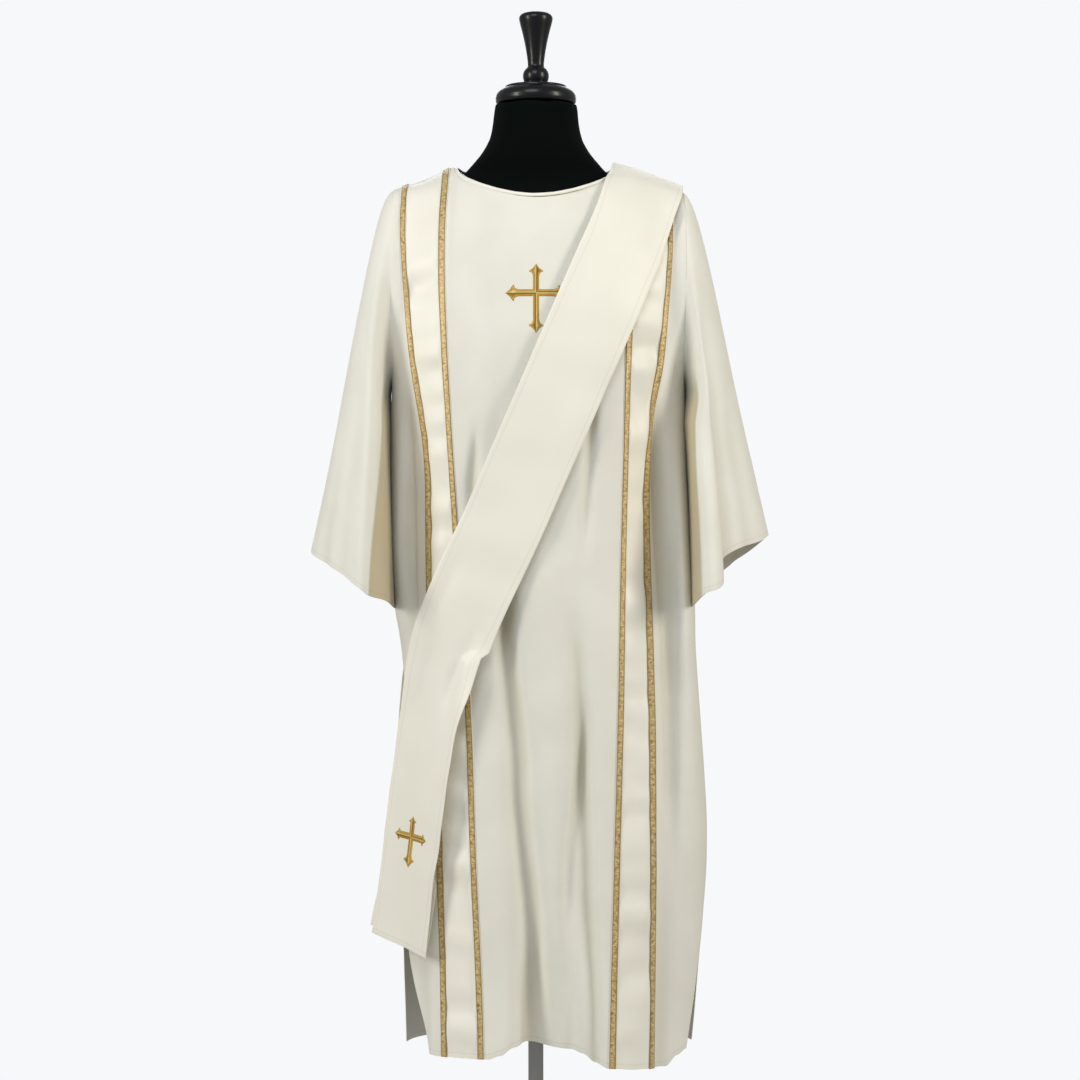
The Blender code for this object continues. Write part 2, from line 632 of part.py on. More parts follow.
def strip(name, rows, look, parent):
    """A strip of cloth on rows of points, thick towards the garment, square to the shoulder seam."""
    def at(i, j):
        return rows[i][j]

    outer = rows
    inner = []
    for i, row in enumerate(rows):
        low, high = max(i - 1, 0), min(i + 1, len(rows) - 1)
        in_row = []
        for j in range(len(row)):
            left, right = max(j - 1, 0), min(j + 1, len(row) - 1)
            normal = (at(i, right) - at(i, left)).cross(at(low, j) - at(high, j))
            if i == 0:
                normal.y = 0
            in_row.append(row[j] - normal.normalized() * STOLE_CLOTH)
        inner.append(in_row)
    return wall(name, outer, inner, look, parent)


def shoulder_crest(x, lift, facing):
    """A point above the shoulder seam."""
    return Vector((x, facing * GAP / 2, NECK_TOP - SHOULDER_SLOPE * (x - NECK_HALF) + lift))


def stole_front_rows():
    rows = []
    last = len(STOLE_FRONT_EDGES) - 1
    for i, (left, right) in enumerate(STOLE_FRONT_EDGES):
        lift = along(STOLE_LIFT, i / last) + STOLE_CLOTH
        row = []
        for j in range(STOLE_COLUMNS + 1):
            share = j / STOLE_COLUMNS
            x = left[0] + (right[0] - left[0]) * share
            height = left[1] + (right[1] - left[1]) * share
            if i == 0:
                row.append(shoulder_crest(x, lift, FRONT))
            else:
                row.append(over_garment(front_angle(x, height), height, lift))
        rows.append(row)
    return rows + tail_rows(FRONT)


def arc_angles(height):
    """(distance, angle) pairs round the back, from the centre back towards the left side."""
    pairs = []
    distance = 0
    previous = ring_point(math.pi, height)
    for degrees in range(0, 150, 2):
        angle = math.pi + math.radians(degrees)
        point = ring_point(angle, height)
        distance += (point - previous).length
        previous = point
        pairs.append((distance, angle))
    return pairs


def stole_back_rows():
    start, end = Vector(STOLE_BACK_START), Vector(STOLE_BACK_END)
    direction = (end - start).normalized()
    square = Vector((-direction.y, direction.x)) * STOLE_WIDTH / 2
    pairs = arc_angles(0.9)
    crest = [edge[0] for edge in STOLE_FRONT_EDGES[0]]
    rows = []
    for i, t in enumerate(STOLE_BACK_STEPS):
        centre = start + (end - start) * t
        lift = along(STOLE_LIFT, t / 4) + STOLE_CLOTH
        lift += STOLE_BACK_EXTRA_LIFT * smooth(t / STOLE_BACK_LIFTED)
        row = []
        for j in range(STOLE_COLUMNS + 1):
            share = j / STOLE_COLUMNS
            across = crest[1] + (crest[0] - crest[1]) * share
            if i == 0:
                row.append(shoulder_crest(across, lift, BACK))
                continue
            seam = Vector((across, NECK_TOP - SHOULDER_SLOPE * (across - NECK_HALF)))
            place = (seam + centre - start).lerp(
                centre + square * (1 - 2 * share), smooth(t / STOLE_BACK_SQUARE))
            if place.x < 0:
                angle = along(pairs, -place.x)
            else:
                angle = math.pi - front_angle(place.x, place.y)
            row.append(over_garment(angle, place.y, lift))
        rows.append(row)
    return rows + tail_rows(BACK)


def tail_rows(facing):
    """A hanging tail: flat across, but never nearer the garment than its clearance."""
    clearance = TAIL_CLEARANCE[facing] + STOLE_CLOTH
    rows = []
    for left, right in TAIL_EDGES[facing]:
        row = []
        for j in range(STOLE_COLUMNS + 1):
            share = j / STOLE_COLUMNS
            point = Vector(left).lerp(Vector(right), share)
            nearest = over_garment(angle_at(point.x, point.z, FRONT), point.z, clearance)
            if abs(point.x) < along(HALF_WIDTH[LEFT], point.z):
                point.y = min(point.y, nearest.y)
            row.append(point)
        rows.append(row)
    return rows


def make_stole(looks, parent):
    strip("stole_front", stole_front_rows(), looks["satin"], parent)
    strip("stole_back", stole_back_rows(), looks["satin"], parent)


def cross_arm(length):
    """Half widths along an arm, as (distance from the centre, half width)."""
    straight = ((CROSS_BAR, CROSS_BAR), ((length - 0.02) / 2 + CROSS_BAR / 2, CROSS_BAR))
    return straight + tuple((length + back, half) for back, half in CROSS_END)


def make_cross(name, place, arms, look, parent):
    """An embroidered cross; place(x, z) gives a point and a normal on the cloth that it lies on."""
    up, across, down = arms
    bm = bmesh.new()
    corner = {}

    def vert(x, z):
        key = (round(x, 6), round(z, 6))
        if key not in corner:
            point, normal = place(x, z)
            corner[key] = bm.verts.new(point + normal * GAP * 2), normal
        return corner[key][0]

    b = CROSS_BAR
    bm.faces.new((vert(-b, -b), vert(b, -b), vert(b, b), vert(-b, b)))
    for (dx, dz), length in (((0, 1), up), ((1, 0), across), ((0, -1), down), ((-1, 0), across)):
        steps = cross_arm(length)
        for (a0, h0), (a1, h1) in zip(steps, steps[1:]):
            ring = ((a0, -h0), (a1, -h1), (a1, h1), (a0, h0))
            bm.faces.new([vert(a * dx + h * dz, a * dz - h * dx) for a, h in ring])
    bm.normal_update()
    made = bmesh.ops.extrude_face_region(bm, geom=bm.faces[:], use_keep_orig=True)
    for moved in [g for g in made["geom"] if isinstance(g, bmesh.types.BMVert)]:
        nearest = min(corner.values(), key=lambda pair: (pair[0].co - moved.co).length)
        moved.co += nearest[1] * EMBROIDERY
    finish(name, bm, look, parent)


def chest_place(x, z):
    height = CHEST_CROSS[1] + z
    angle = front_angle(CHEST_CROSS[0] + x, height)
    level = 1 + (height - UNDERARM) / (chest_point(angle, 1).z - UNDERARM)
    return garment_point(angle, level), garment_normal(angle, level)


def tail_place(rows):
    """The place function of a cross on the front tail, square to the tail's own edges."""
    above, below = rows[3], rows[4]
    centre = above[2].lerp(below[2], 0.75)
    right = (below[4] - below[0]).normalized()
    up = (above[2] - below[2]).normalized()
    normal = right.cross(up).normalized()

    def place(x, z):
        return centre + right * x + up * z + normal * 0.0004, normal

    return place


def make_turned(name, profile, look, parent):
    """A solid turned about the Z axis from a (radius, height) profile."""
    bm = bmesh.new()
    verts = [bm.verts.new((radius, 0, height)) for radius, height in profile]
    edges = [bm.edges.new(pair) for pair in zip(verts, verts[1:])]
    bmesh.ops.spin(
        bm, geom=verts + edges, cent=(0, 0, 0), axis=(0, 0, 1), angle=2 * math.pi,
        steps=TURNED_SEGMENTS, use_merge=True)
    finish(name, bm, look, parent)


def make_torso(look, parent):
    """The limbless jersey-covered torso with its neck."""
    bm = bmesh.new()
    rings = []
    for height, half, depth in FORM_RINGS:
        ring = []
        for i in range(FORM_SEGMENTS):
            angle = 2 * math.pi * i / FORM_SEGMENTS
            s, c = math.sin(angle), math.cos(angle)
            x = side_of(s) * half * abs(s) ** FORM_SQUARENESS
            y = side_of(c) * depth * abs(c) ** FORM_SQUARENESS
            ring.append(bm.verts.new((x, y, height)))
        rings.append(ring)
    for low, high in zip(rings, rings[1:]):
        for i in range(FORM_SEGMENTS):
            j = (i + 1) % FORM_SEGMENTS
            bm.faces.new((low[i], low[j], high[j], high[i]))
    bm.faces.new(rings[0])
    bm.faces.new(rings[-1])
    finish("form_torso", bm, look, parent)


def make_form(looks, parent):
    make_turned("base_plate", BASE_PROFILE, looks["steel"], parent)
    make_turned("base_collar", COLLAR_PROFILE, looks["steel"], parent)
    pole = ((0.0, POLE_FOOT), (POLE_RADIUS, POLE_FOOT), (POLE_RADIUS, POLE_HEAD), (0.0, POLE_HEAD))
    make_turned("pole", pole, looks["steel"], parent)
    make_torso(looks["jersey"], parent)
    make_turned("neck_cap", CAP_PROFILE, looks["lacquer"], parent)
    make_turned("finial", FINIAL_PROFILE, looks["lacquer"], parent)


def main():
    clear_scene()
    parent = bpy.data.objects.new("dalmatic_on_form", None)
    bpy.context.scene.collection.objects.link(parent)
    looks = {
        "crepe": material("ivory crepe", (0.80, 0.77, 0.68), 0.85),
        "satin": material("cream satin", (0.86, 0.82, 0.72), 0.45),
        "braid": material("gold braid", (0.58, 0.40, 0.14), 0.45, 0.3),
        "thread": material("gold embroidery thread", (0.62, 0.41, 0.10), 0.45, 0.2),
        "jersey": material("black jersey", (0.006, 0.009, 0.010), 0.9),
        "lacquer": material("black lacquered wood", (0.012, 0.012, 0.014), 0.15),
        "steel": material("grey steel tube", (0.35, 0.35, 0.35), 0.35, 1.0),
    }
    make_form(looks, parent)
    make_panels(looks, parent)
    make_neck_binding(looks["satin"], parent)
    make_sleeve("sleeve_left", LEFT, looks["crepe"], parent)
    make_sleeve("sleeve_right", RIGHT, looks["crepe"], parent)
    make_stole(looks, parent)
    make_cross("chest_cross", chest_place, CHEST_CROSS_ARMS, looks["thread"], parent)
    make_cross("stole_cross", tail_place(tail_rows(FRONT)), STOLE_CROSS_ARMS, looks["thread"], parent)


main()
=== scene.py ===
# A deacon's dalmatic with its stole on a black dress form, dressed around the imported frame.
# Metres, +Z up, the front faces -Y. Lengths in the comments are real ones.
import math

import bmesh
import bpy
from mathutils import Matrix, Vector, noise
from mathutils.bvhtree import BVHTree


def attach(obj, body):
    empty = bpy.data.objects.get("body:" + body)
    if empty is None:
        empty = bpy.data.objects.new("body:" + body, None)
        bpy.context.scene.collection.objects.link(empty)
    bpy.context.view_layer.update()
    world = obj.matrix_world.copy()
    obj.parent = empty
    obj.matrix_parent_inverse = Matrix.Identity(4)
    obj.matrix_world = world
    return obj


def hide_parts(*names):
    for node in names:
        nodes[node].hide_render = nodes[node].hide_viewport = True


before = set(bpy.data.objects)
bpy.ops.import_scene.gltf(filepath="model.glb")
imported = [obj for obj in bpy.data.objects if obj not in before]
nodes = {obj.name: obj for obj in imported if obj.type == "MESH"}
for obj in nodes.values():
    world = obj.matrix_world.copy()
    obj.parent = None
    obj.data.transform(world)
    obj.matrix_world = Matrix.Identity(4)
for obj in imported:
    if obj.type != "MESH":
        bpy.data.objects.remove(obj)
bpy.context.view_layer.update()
print("frame loaded:", len(nodes), "nodes")


studio = {
    "eyeHeight": 0.909,
    "eyeDistance": 4.1,
    "eyeShift": 0.006,
    "lens": 94.2,
    "floorRadius": 0.66,
    "floorFadeFrom": 0.2,
    "airColour": "f7f8fa",
    "airLight": 0.34,
    # place, where it points, width, height, watts, colour
    "lights": [
        ((-0.7, -3.0, 3.5), (0.0, 0.0, 1.4), 2.0, 1.4, 43, "f1f8ff"),
        ((-3.1, -2.0, 2.0), (0.0, 0.0, 1.1), 0.9, 1.8, 58, "fffcf2"),
        ((3.1, -1.8, 2.2), (0.0, 0.0, 1.15), 0.9, 1.8, 60, "fff9ea"),
        ((0.0, 3.4, 2.6), (0.0, 0.0, 1.0), 2.6, 1.8, 36, "fdfdff"),
    ],
}


def linear(code):
    # sRGB hex to linear, with alpha
    shares = [int(code[i : i + 2], 16) / 255 for i in (0, 2, 4)]
    return [c / 12.92 if c <= 0.04045 else ((c + 0.055) / 1.055) ** 2.4 for c in shares] + [1]


def addNode(tree, kind, settings=(), links=()):
    # a node with its values (by socket name or number, or by property) and its incoming links
    node = tree.nodes.new("ShaderNode" + kind)
    for name, value in dict(settings).items():
        if isinstance(name, int) or name in node.inputs:
            node.inputs[name].default_value = value
        else:
            setattr(node, name, value)
    for name, source in dict(links).items():
        tree.links.new(source, node.inputs[name])
    return node


def setStudio():
    scene = bpy.context.scene
    scene.view_settings.view_transform = "Standard"
    eye = bpy.data.cameras.new("eye")
    eye.lens = studio["lens"]
    camera = bpy.data.objects.new("eye", eye)
    camera.location = (studio["eyeShift"], -studio["eyeDistance"], studio["eyeHeight"])
    camera.rotation_euler = (math.pi / 2, 0, 0)
    scene.collection.objects.link(camera)
    scene.camera = camera

    air = bpy.data.worlds.new("pale air")
    air.use_nodes = True
    tree = air.node_tree
    tree.nodes.clear()
    seen = addNode(tree, "Background", {"Color": linear(studio["airColour"]), "Strength": 1})
    lit = addNode(tree, "Background", {"Color": linear("fffefb"), "Strength": studio["airLight"]})
    path = addNode(tree, "LightPath")
    mix = addNode(
        tree, "MixShader", (), {0: path.outputs["Is Camera Ray"], 1: lit.outputs[0], 2: seen.outputs[0]})
    addNode(tree, "OutputWorld", (), {"Surface": mix.outputs[0]})
    scene.world = air

    for i, (place, target, width, height, watts, colour) in enumerate(studio["lights"]):
        light = bpy.data.lights.new("softbox" + str(i), "AREA")
        light.shape = "RECTANGLE"
        light.size, light.size_y = width, height
        light.energy = watts
        light.color = linear(colour)[:3]
        lamp = bpy.data.objects.new(light.name, light)
        lamp.location = place
        lamp.rotation_euler = (Vector(target) - Vector(place)).to_track_quat("-Z", "Y").to_euler()
        scene.collection.objects.link(lamp)

    # a pale floor that melts into the air at its rim
    bm = bmesh.new()
    bmesh.ops.create_circle(bm, cap_ends=True, segments=96, radius=studio["floorRadius"])
    floor = addObject("floor", bm, floorPaint())


def addObject(name, bm, *looks):
    mesh = bpy.data.meshes.new(name)
    bm.to_mesh(mesh)
    bm.free()
    for look in looks:
        mesh.materials.append(look)
    mesh.shade_smooth()
    obj = bpy.data.objects.new(name, mesh)
    bpy.context.scene.collection.objects.link(obj)
    return obj


def newMaterial(name):
    made = bpy.data.materials.new(name)
    made.use_nodes = True
    return made, made.node_tree, made.node_tree.nodes["Principled BSDF"]


def floorPaint():
    # matt painted studio floor, near white
    made, tree, shader = newMaterial("matt painted studio floor")
    shader.inputs["Base Color"].default_value = linear("dcdcda")
    shader.inputs["Roughness"].default_value = 0.9
    place = addNode(tree, "TexCoord")
    far = addNode(tree, "VectorMath", {"operation": "LENGTH"}, {0: place.outputs["Object"]})
    fade = addNode(
        tree, "MapRange",
        {"interpolation_type": "SMOOTHSTEP",
         "From Min": studio["floorFadeFrom"], "From Max": studio["floorRadius"] - 0.02},
        {"Value": far.outputs["Value"]})
    clear = addNode(tree, "BsdfTransparent")
    mix = addNode(tree, "MixShader", (), {0: fade.outputs[0], 1: shader.outputs[0], 2: clear.outputs[0]})
    tree.links.new(mix.outputs[0], tree.nodes["Material Output"].inputs["Surface"])
    return made


def tinted(tree, coords, low, high, scale, stretch=(1, 1, 1)):
    # a slow drift between two colours
    turn = addNode(tree, "Mapping", {"Scale": stretch}, {"Vector": coords})
    cloud = addNode(tree, "TexNoise", {"Scale": scale, "Detail": 3.0}, {"Vector": turn.outputs[0]})
    ramp = addNode(tree, "ValToRGB", (), {"Fac": cloud.outputs["Fac"]})
    ramp.color_ramp.elements[0].position = 0.35
    ramp.color_ramp.elements[0].color = linear(low)
    ramp.color_ramp.elements[1].position = 0.65
    ramp.color_ramp.elements[1].color = linear(high)
    return ramp


stitch = {
    "hem": 0.007, "stoleEdge": 0.0505,  # how far a row runs from the hem, and from the stole's middle line
    # shade: how far a row darkens the cloth's colour, a painted shadow of its sunk stitch line
    "width": 0.0004, "length": 0.0034, "share": 0.78, "shade": 0.90,
}


def topstitched(tree, coords, colour, height, lines):
    # rows of thread: (axis, distance) pairs say where each row runs in the cloth's own lengths
    parts = addNode(tree, "SeparateXYZ", (), {"Vector": coords})
    for axis, distance in lines:
        side = addNode(tree, "Math", {"operation": "ABSOLUTE"}, {0: parts.outputs[axis]})
        away = addNode(tree, "Math", {"operation": "SUBTRACT", 1: distance}, {0: side.outputs[0]})
        flat = addNode(tree, "Math", {"operation": "ABSOLUTE"}, {0: away.outputs[0]})
        near = addNode(
            tree, "MapRange",
            {"From Min": stitch["width"], "From Max": 3 * stitch["width"], "To Min": 1.0, "To Max": 0.0},
            {"Value": flat.outputs[0]})
        other = parts.outputs["Y" if axis == "X" else "X"]
        run = addNode(tree, "Math", {"operation": "MULTIPLY", 1: 1 / stitch["length"]}, {0: other})
        share = addNode(tree, "Math", {"operation": "FRACT"}, {0: run.outputs[0]})
        sewn = addNode(tree, "Math", {"operation": "LESS_THAN", 1: stitch["share"]}, {0: share.outputs[0]})
        seam = addNode(tree, "Math", {"operation": "MULTIPLY"}, {0: near.outputs[0], 1: sewn.outputs[0]})
        # each row darkens the colour: painted shadow of the sunk stitch line
        tone = addNode(
            tree, "MapRange", {"To Min": 1.0, "To Max": stitch["shade"]}, {"Value": seam.outputs[0]})
        colour = addNode(
            tree, "VectorMath", {"operation": "SCALE"}, {0: colour, "Scale": tone.outputs[0]}).outputs[0]
        height = addNode(
            tree, "Math", {"operation": "MULTIPLY_ADD", 1: -1.2}, {0: seam.outputs[0], 2: height}).outputs[0]
    return colour, height


crepe = {
    "low": "e8e6dc", "high": "eeece3",
    # painted shade inside folds, on top of what the lights do: colours, the depths it grows between, its most
    "shade": "a8a07c", "deepShade": "ad9452",
    "shadeDepth": (0.003, 0.020), "deepShadeDepth": (0.022, 0.034), "shadeShare": 0.62,
    "roughness": 0.86, "sheen": 0.12,
    "threads": 700,  # per metre: threads are 0.5 mm apart, drawn at 1.4 mm so that they show
}


def crepeCloth():
    # ivory wool-blend crepe, woven from overspun yarn: matt, with a fine pebbled grain
    made, tree, shader = newMaterial("ivory crepe")
    coords = addNode(tree, "UVMap", {"uv_map": "cloth"}).outputs["UV"]
    ramp = tinted(tree, coords, crepe["low"], crepe["high"], 9)
    shader.inputs["Roughness"].default_value = crepe["roughness"]
    shader.inputs["Sheen Weight"].default_value = crepe["sheen"]
    shader.inputs["Sheen Roughness"].default_value = 0.5
    shader.inputs["Specular IOR Level"].default_value = 0.3
    weft = addNode(
        tree, "TexWave",
        {"bands_direction": "Y", "Scale": crepe["threads"] / 6.283, "Distortion": 1.5, "Detail": 1.0},
        {"Vector": coords})
    # cloth deep in a fold is lit by the cloth around it, so it goes warm and dim: this is painted shade, the
    # colour mixed towards the shade colours by the fold attribute
    fold = addNode(tree, "Attribute", {"attribute_name": "fold"})
    depth = addNode(
        tree, "MapRange",
        {"From Min": crepe["shadeDepth"][0], "From Max": crepe["shadeDepth"][1], "To Max": crepe["shadeShare"]},
        {"Value": fold.outputs["Fac"]})
    deepest = addNode(
        tree, "MapRange", {"From Min": crepe["deepShadeDepth"][0], "From Max": crepe["deepShadeDepth"][1]},
        {"Value": fold.outputs["Fac"]})
    shade = addNode(
        tree, "Mix", {"data_type": "RGBA", 6: linear(crepe["shade"]), 7: linear(crepe["deepShade"])},
        {0: deepest.outputs[0]})
    foldShaded = addNode(
        tree, "Mix", {"data_type": "RGBA"},
        {0: depth.outputs[0], 6: ramp.outputs["Color"], 7: shade.outputs[2]})
    colour, height = topstitched(tree, coords, foldShaded.outputs[2], weft.outputs["Fac"], [("Y", stitch["hem"])])
    tree.links.new(colour, shader.inputs["Base Color"])
    thread = addNode(tree, "Bump", {"Strength": 0.10, "Distance": 0.0004}, {"Height": height})
    pebble = addNode(
        tree, "TexNoise", {"Scale": crepe["threads"], "Detail": 2.0, "Roughness": 0.6}, {"Vector": coords})
    pebbled = addNode(
        tree, "Bump", {"Strength": 0.22, "Distance": 0.0004},
        {"Height": pebble.outputs["Fac"], "Normal": thread.outputs["Normal"]})
    tree.links.new(pebbled.outputs["Normal"], shader.inputs["Normal"])
    return made


satin = {
    "low": "f2efe3", "high": "f8f5ea",
    "roughness": 0.42, "sheen": 0.2,
    "threads": 620,  # per metre: filaments are 0.1 mm apart, drawn at 1.6 mm so that they show
}


def satinCloth(name, lines):
    # cream duchess satin: long floats of filament yarn run lengthwise, so it has a broad soft sheen
    made, tree, shader = newMaterial(name)
    coords = addNode(tree, "UVMap", {"uv_map": "cloth"}).outputs["UV"]
    ramp = tinted(tree, coords, satin["low"], satin["high"], 7, (1, 0.25, 1))
    shader.inputs["Roughness"].default_value = satin["roughness"]
    shader.inputs["Sheen Weight"].default_value = satin["sheen"]
    shader.inputs["Sheen Roughness"].default_value = 0.35
    shader.inputs["Specular IOR Level"].default_value = 0.45
    warp = addNode(
        tree, "TexWave",
        {"bands_direction": "X", "Scale": satin["threads"] / 6.283, "Distortion": 2.0, "Detail": 2.0},
        {"Vector": coords})
    colour, height = topstitched(tree, coords, ramp.outputs["Color"], warp.outputs["Fac"], lines)
    tree.links.new(colour, shader.inputs["Base Color"])
    floats = addNode(tree, "Bump", {"Strength": 0.12, "Distance": 0.0004}, {"Height": height})
    tree.links.new(floats.outputs["Normal"], shader.inputs["Normal"])
    return made


braid = {
    "thread": "c9ac73", "shade": "93733a", "shine": "ead7a4", "border": "8a6a34",
    "pitch": 0.0036, "half": 0.0039,
    "speck": 260,  # painted lurex glints: the real ones are finer than 1 mm, these are drawn coarser so that they show
}


def braidWeave():
    # galloon braid of gold lurex thread: ribs slant in to a sunk middle line, between two darker corded edges;
    # the rib hollows are painted darker and the glints lighter, as painted shade and painted highlight
    made, tree, shader = newMaterial("gold galloon braid")
    coords = addNode(tree, "UVMap", {"uv_map": "cloth"}).outputs["UV"]
    parts = addNode(tree, "SeparateXYZ", (), {"Vector": coords})
    across = addNode(tree, "Math", {"operation": "ABSOLUTE"}, {0: parts.outputs["X"]})
    slant = addNode(tree, "Math", {"operation": "ADD"}, {0: parts.outputs["Y"], 1: across.outputs[0]})
    turns = addNode(
        tree, "Math", {"operation": "MULTIPLY", 1: math.tau / braid["pitch"]}, {0: slant.outputs[0]})
    rib = addNode(tree, "Math", {"operation": "SINE"}, {0: turns.outputs[0]})
    lift = addNode(
        tree, "MapRange", {"From Min": -1.0, "From Max": 1.0, "To Min": 0.35}, {"Value": rib.outputs[0]})
    speck = addNode(tree, "TexNoise", {"Scale": braid["speck"], "Detail": 2.0}, {"Vector": coords})
    glint = addNode(tree, "MapRange", {"From Min": 0.3, "From Max": 0.7}, {"Value": speck.outputs["Fac"]})
    both = addNode(tree, "Math", {"operation": "MULTIPLY"}, {0: lift.outputs[0], 1: glint.outputs[0]})
    # painted shade in the rib hollows, painted highlight on the glints
    ramp = addNode(tree, "ValToRGB", (), {"Fac": both.outputs[0]})
    ramp.color_ramp.elements[0].color = linear(braid["shade"])
    ramp.color_ramp.elements[1].color = linear(braid["shine"])
    ramp.color_ramp.elements[1].position = 0.75
    middle = ramp.color_ramp.elements.new(0.3)
    middle.color = linear(braid["thread"])
    border = addNode(
        tree, "MapRange", {"From Min": 0.55 * braid["half"], "From Max": 0.85 * braid["half"], "To Max": 0.75},
        {"Value": across.outputs[0]})
    mixed = addNode(
        tree, "Mix", {"data_type": "RGBA", 7: linear(braid["border"])},
        {0: border.outputs[0], 6: ramp.outputs["Color"]})
    tree.links.new(mixed.outputs[2], shader.inputs["Base Color"])
    shader.inputs["Roughness"].default_value = 0.42
    shader.inputs["Metallic"].default_value = 0.15
    shader.inputs["Sheen Weight"].default_value = 0.2
    bump = addNode(tree, "Bump", {"Strength": 0.6, "Distance": 0.0006}, {"Height": both.outputs[0]})
    tree.links.new(bump.outputs["Normal"], shader.inputs["Normal"])
    return made


embroidery = {
    "thread": "c4932f", "shade": "7d5713", "shine": "f7e08f", "edge": "d9b45c", "pitch": 0.0016,
    # where each tone lies across an arm, from 0 to 1; shine is a painted highlight on one flank, shade is
    # painted shade on the other flank and at both rims
    "flanks": (
        (0.12, "edge"), (0.3, "thread"), (0.46, "shine"), (0.56, "shade"), (0.74, "thread"), (0.9, "edge")),
}


def embroideryThread():
    # rayon and lurex thread laid slanting from a middle line over padding: one flank shines, the other is dark;
    # both are painted into the colour, as painted highlight and painted shade
    made, tree, shader = newMaterial("gold embroidery thread")
    coords = addNode(tree, "UVMap", {"uv_map": "cloth"}).outputs["UV"]  # share of the half width, metres along
    parts = addNode(tree, "SeparateXYZ", (), {"Vector": coords})
    across = addNode(tree, "MapRange", {"From Min": -1.0, "From Max": 1.0}, {"Value": parts.outputs["X"]})
    ramp = addNode(tree, "ValToRGB", (), {"Fac": across.outputs[0]})
    ramp.color_ramp.elements[0].color = linear(embroidery["shade"])
    ramp.color_ramp.elements[1].color = linear(embroidery["shade"])
    for place, tone in embroidery["flanks"]:
        stop = ramp.color_ramp.elements.new(place)
        stop.color = linear(embroidery[tone])
    flank = addNode(tree, "Math", {"operation": "ABSOLUTE"}, {0: parts.outputs["X"]})
    slant = addNode(
        tree, "Math", {"operation": "MULTIPLY_ADD", 1: 0.004}, {0: flank.outputs[0], 2: parts.outputs["Y"]})
    turns = addNode(
        tree, "Math", {"operation": "MULTIPLY", 1: math.tau / embroidery["pitch"]}, {0: slant.outputs[0]})
    strand = addNode(tree, "Math", {"operation": "SINE"}, {0: turns.outputs[0]})
    # each strand is painted lighter and darker across its slant: painted highlight and shade of the round
    # threads
    tone = addNode(
        tree, "MapRange", {"From Min": -1.0, "From Max": 1.0, "To Min": 0.78, "To Max": 1.1},
        {"Value": strand.outputs[0]})
    colour = addNode(
        tree, "VectorMath", {"operation": "SCALE"}, {0: ramp.outputs["Color"], "Scale": tone.outputs[0]})
    tree.links.new(colour.outputs[0], shader.inputs["Base Color"])
    shader.inputs["Roughness"].default_value = 0.38
    shader.inputs["Metallic"].default_value = 0.25
    bump = addNode(tree, "Bump", {"Strength": 0.5, "Distance": 0.0004}, {"Height": strand.outputs[0]})
    tree.links.new(bump.outputs["Normal"], shader.inputs["Normal"])
    return made


def blackJersey():
    # cotton jersey stretched over padding: deep black, with fine knitted columns
    made, tree, shader = newMaterial("black cotton jersey")
    coords = addNode(tree, "TexCoord").outputs["Object"]
    shader.inputs["Base Color"].default_value = linear("030807")
    shader.inputs["Roughness"].default_value = 0.95
    shader.inputs["Sheen Weight"].default_value = 0.015
    shader.inputs["Sheen Roughness"].default_value = 0.6
    shader.inputs["Specular IOR Level"].default_value = 0.06
    knit = addNode(
        tree, "TexWave", {"bands_direction": "X", "Scale": 160, "Distortion": 1.0}, {"Vector": coords})
    ribs = addNode(tree, "Bump", {"Strength": 0.2, "Distance": 0.0003}, {"Height": knit.outputs["Fac"]})
    fuzz = addNode(tree, "TexNoise", {"Scale": 800, "Detail": 2.0, "Roughness": 0.6}, {"Vector": coords})
    napped = addNode(
        tree, "Bump", {"Strength": 0.25, "Distance": 0.0004},
        {"Height": fuzz.outputs["Fac"], "Normal": ribs.outputs["Normal"]})
    tree.links.new(napped.outputs["Normal"], shader.inputs["Normal"])
    return made


def blackLacquer():
    # turned beech under black lacquer: glossy, with the faint waves of a brushed coat
    made, tree, shader = newMaterial("black lacquered beech")
    coords = addNode(tree, "TexCoord").outputs["Object"]
    shader.inputs["Base Color"].default_value = linear("06080d")
    shader.inputs["Roughness"].default_value = 0.34
    shader.inputs["Specular IOR Level"].default_value = 0.28
    shader.inputs["Coat Weight"].default_value = 0.2
    shader.inputs["Coat Roughness"].default_value = 0.12
    stretch = addNode(tree, "Mapping", {"Scale": (1, 1, 8)}, {"Vector": coords})
    waves = addNode(
        tree, "TexNoise", {"Scale": 30, "Detail": 2.0, "Roughness": 0.6}, {"Vector": stretch.outputs[0]})
    brushed = addNode(tree, "Bump", {"Strength": 0.08, "Distance": 0.0006}, {"Height": waves.outputs["Fac"]})
    tree.links.new(brushed.outputs["Normal"], shader.inputs["Normal"])
    return made


def greySteel():
    # drawn steel tube with a dull chrome plate
    made, tree, shader = newMaterial("dull chromed steel")
    coords = addNode(tree, "TexCoord").outputs["Object"]
    shader.inputs["Base Color"].default_value = linear("a5a5a3")
    shader.inputs["Metallic"].default_value = 1.0
    stretch = addNode(tree, "Mapping", {"Scale": (1, 1, 0.06)}, {"Vector": coords})
    brushed = addNode(tree, "TexNoise", {"Scale": 900, "Detail": 3.0}, {"Vector": stretch.outputs[0]})
    rough = addNode(tree, "MapRange", {"To Min": 0.3, "To Max": 0.46}, {"Value": brushed.outputs["Fac"]})
    tree.links.new(rough.outputs[0], shader.inputs["Roughness"])
    bump = addNode(tree, "Bump", {"Strength": 0.08, "Distance": 0.0002}, {"Height": brushed.outputs["Fac"]})
    tree.links.new(bump.outputs["Normal"], shader.inputs["Normal"])
    return made


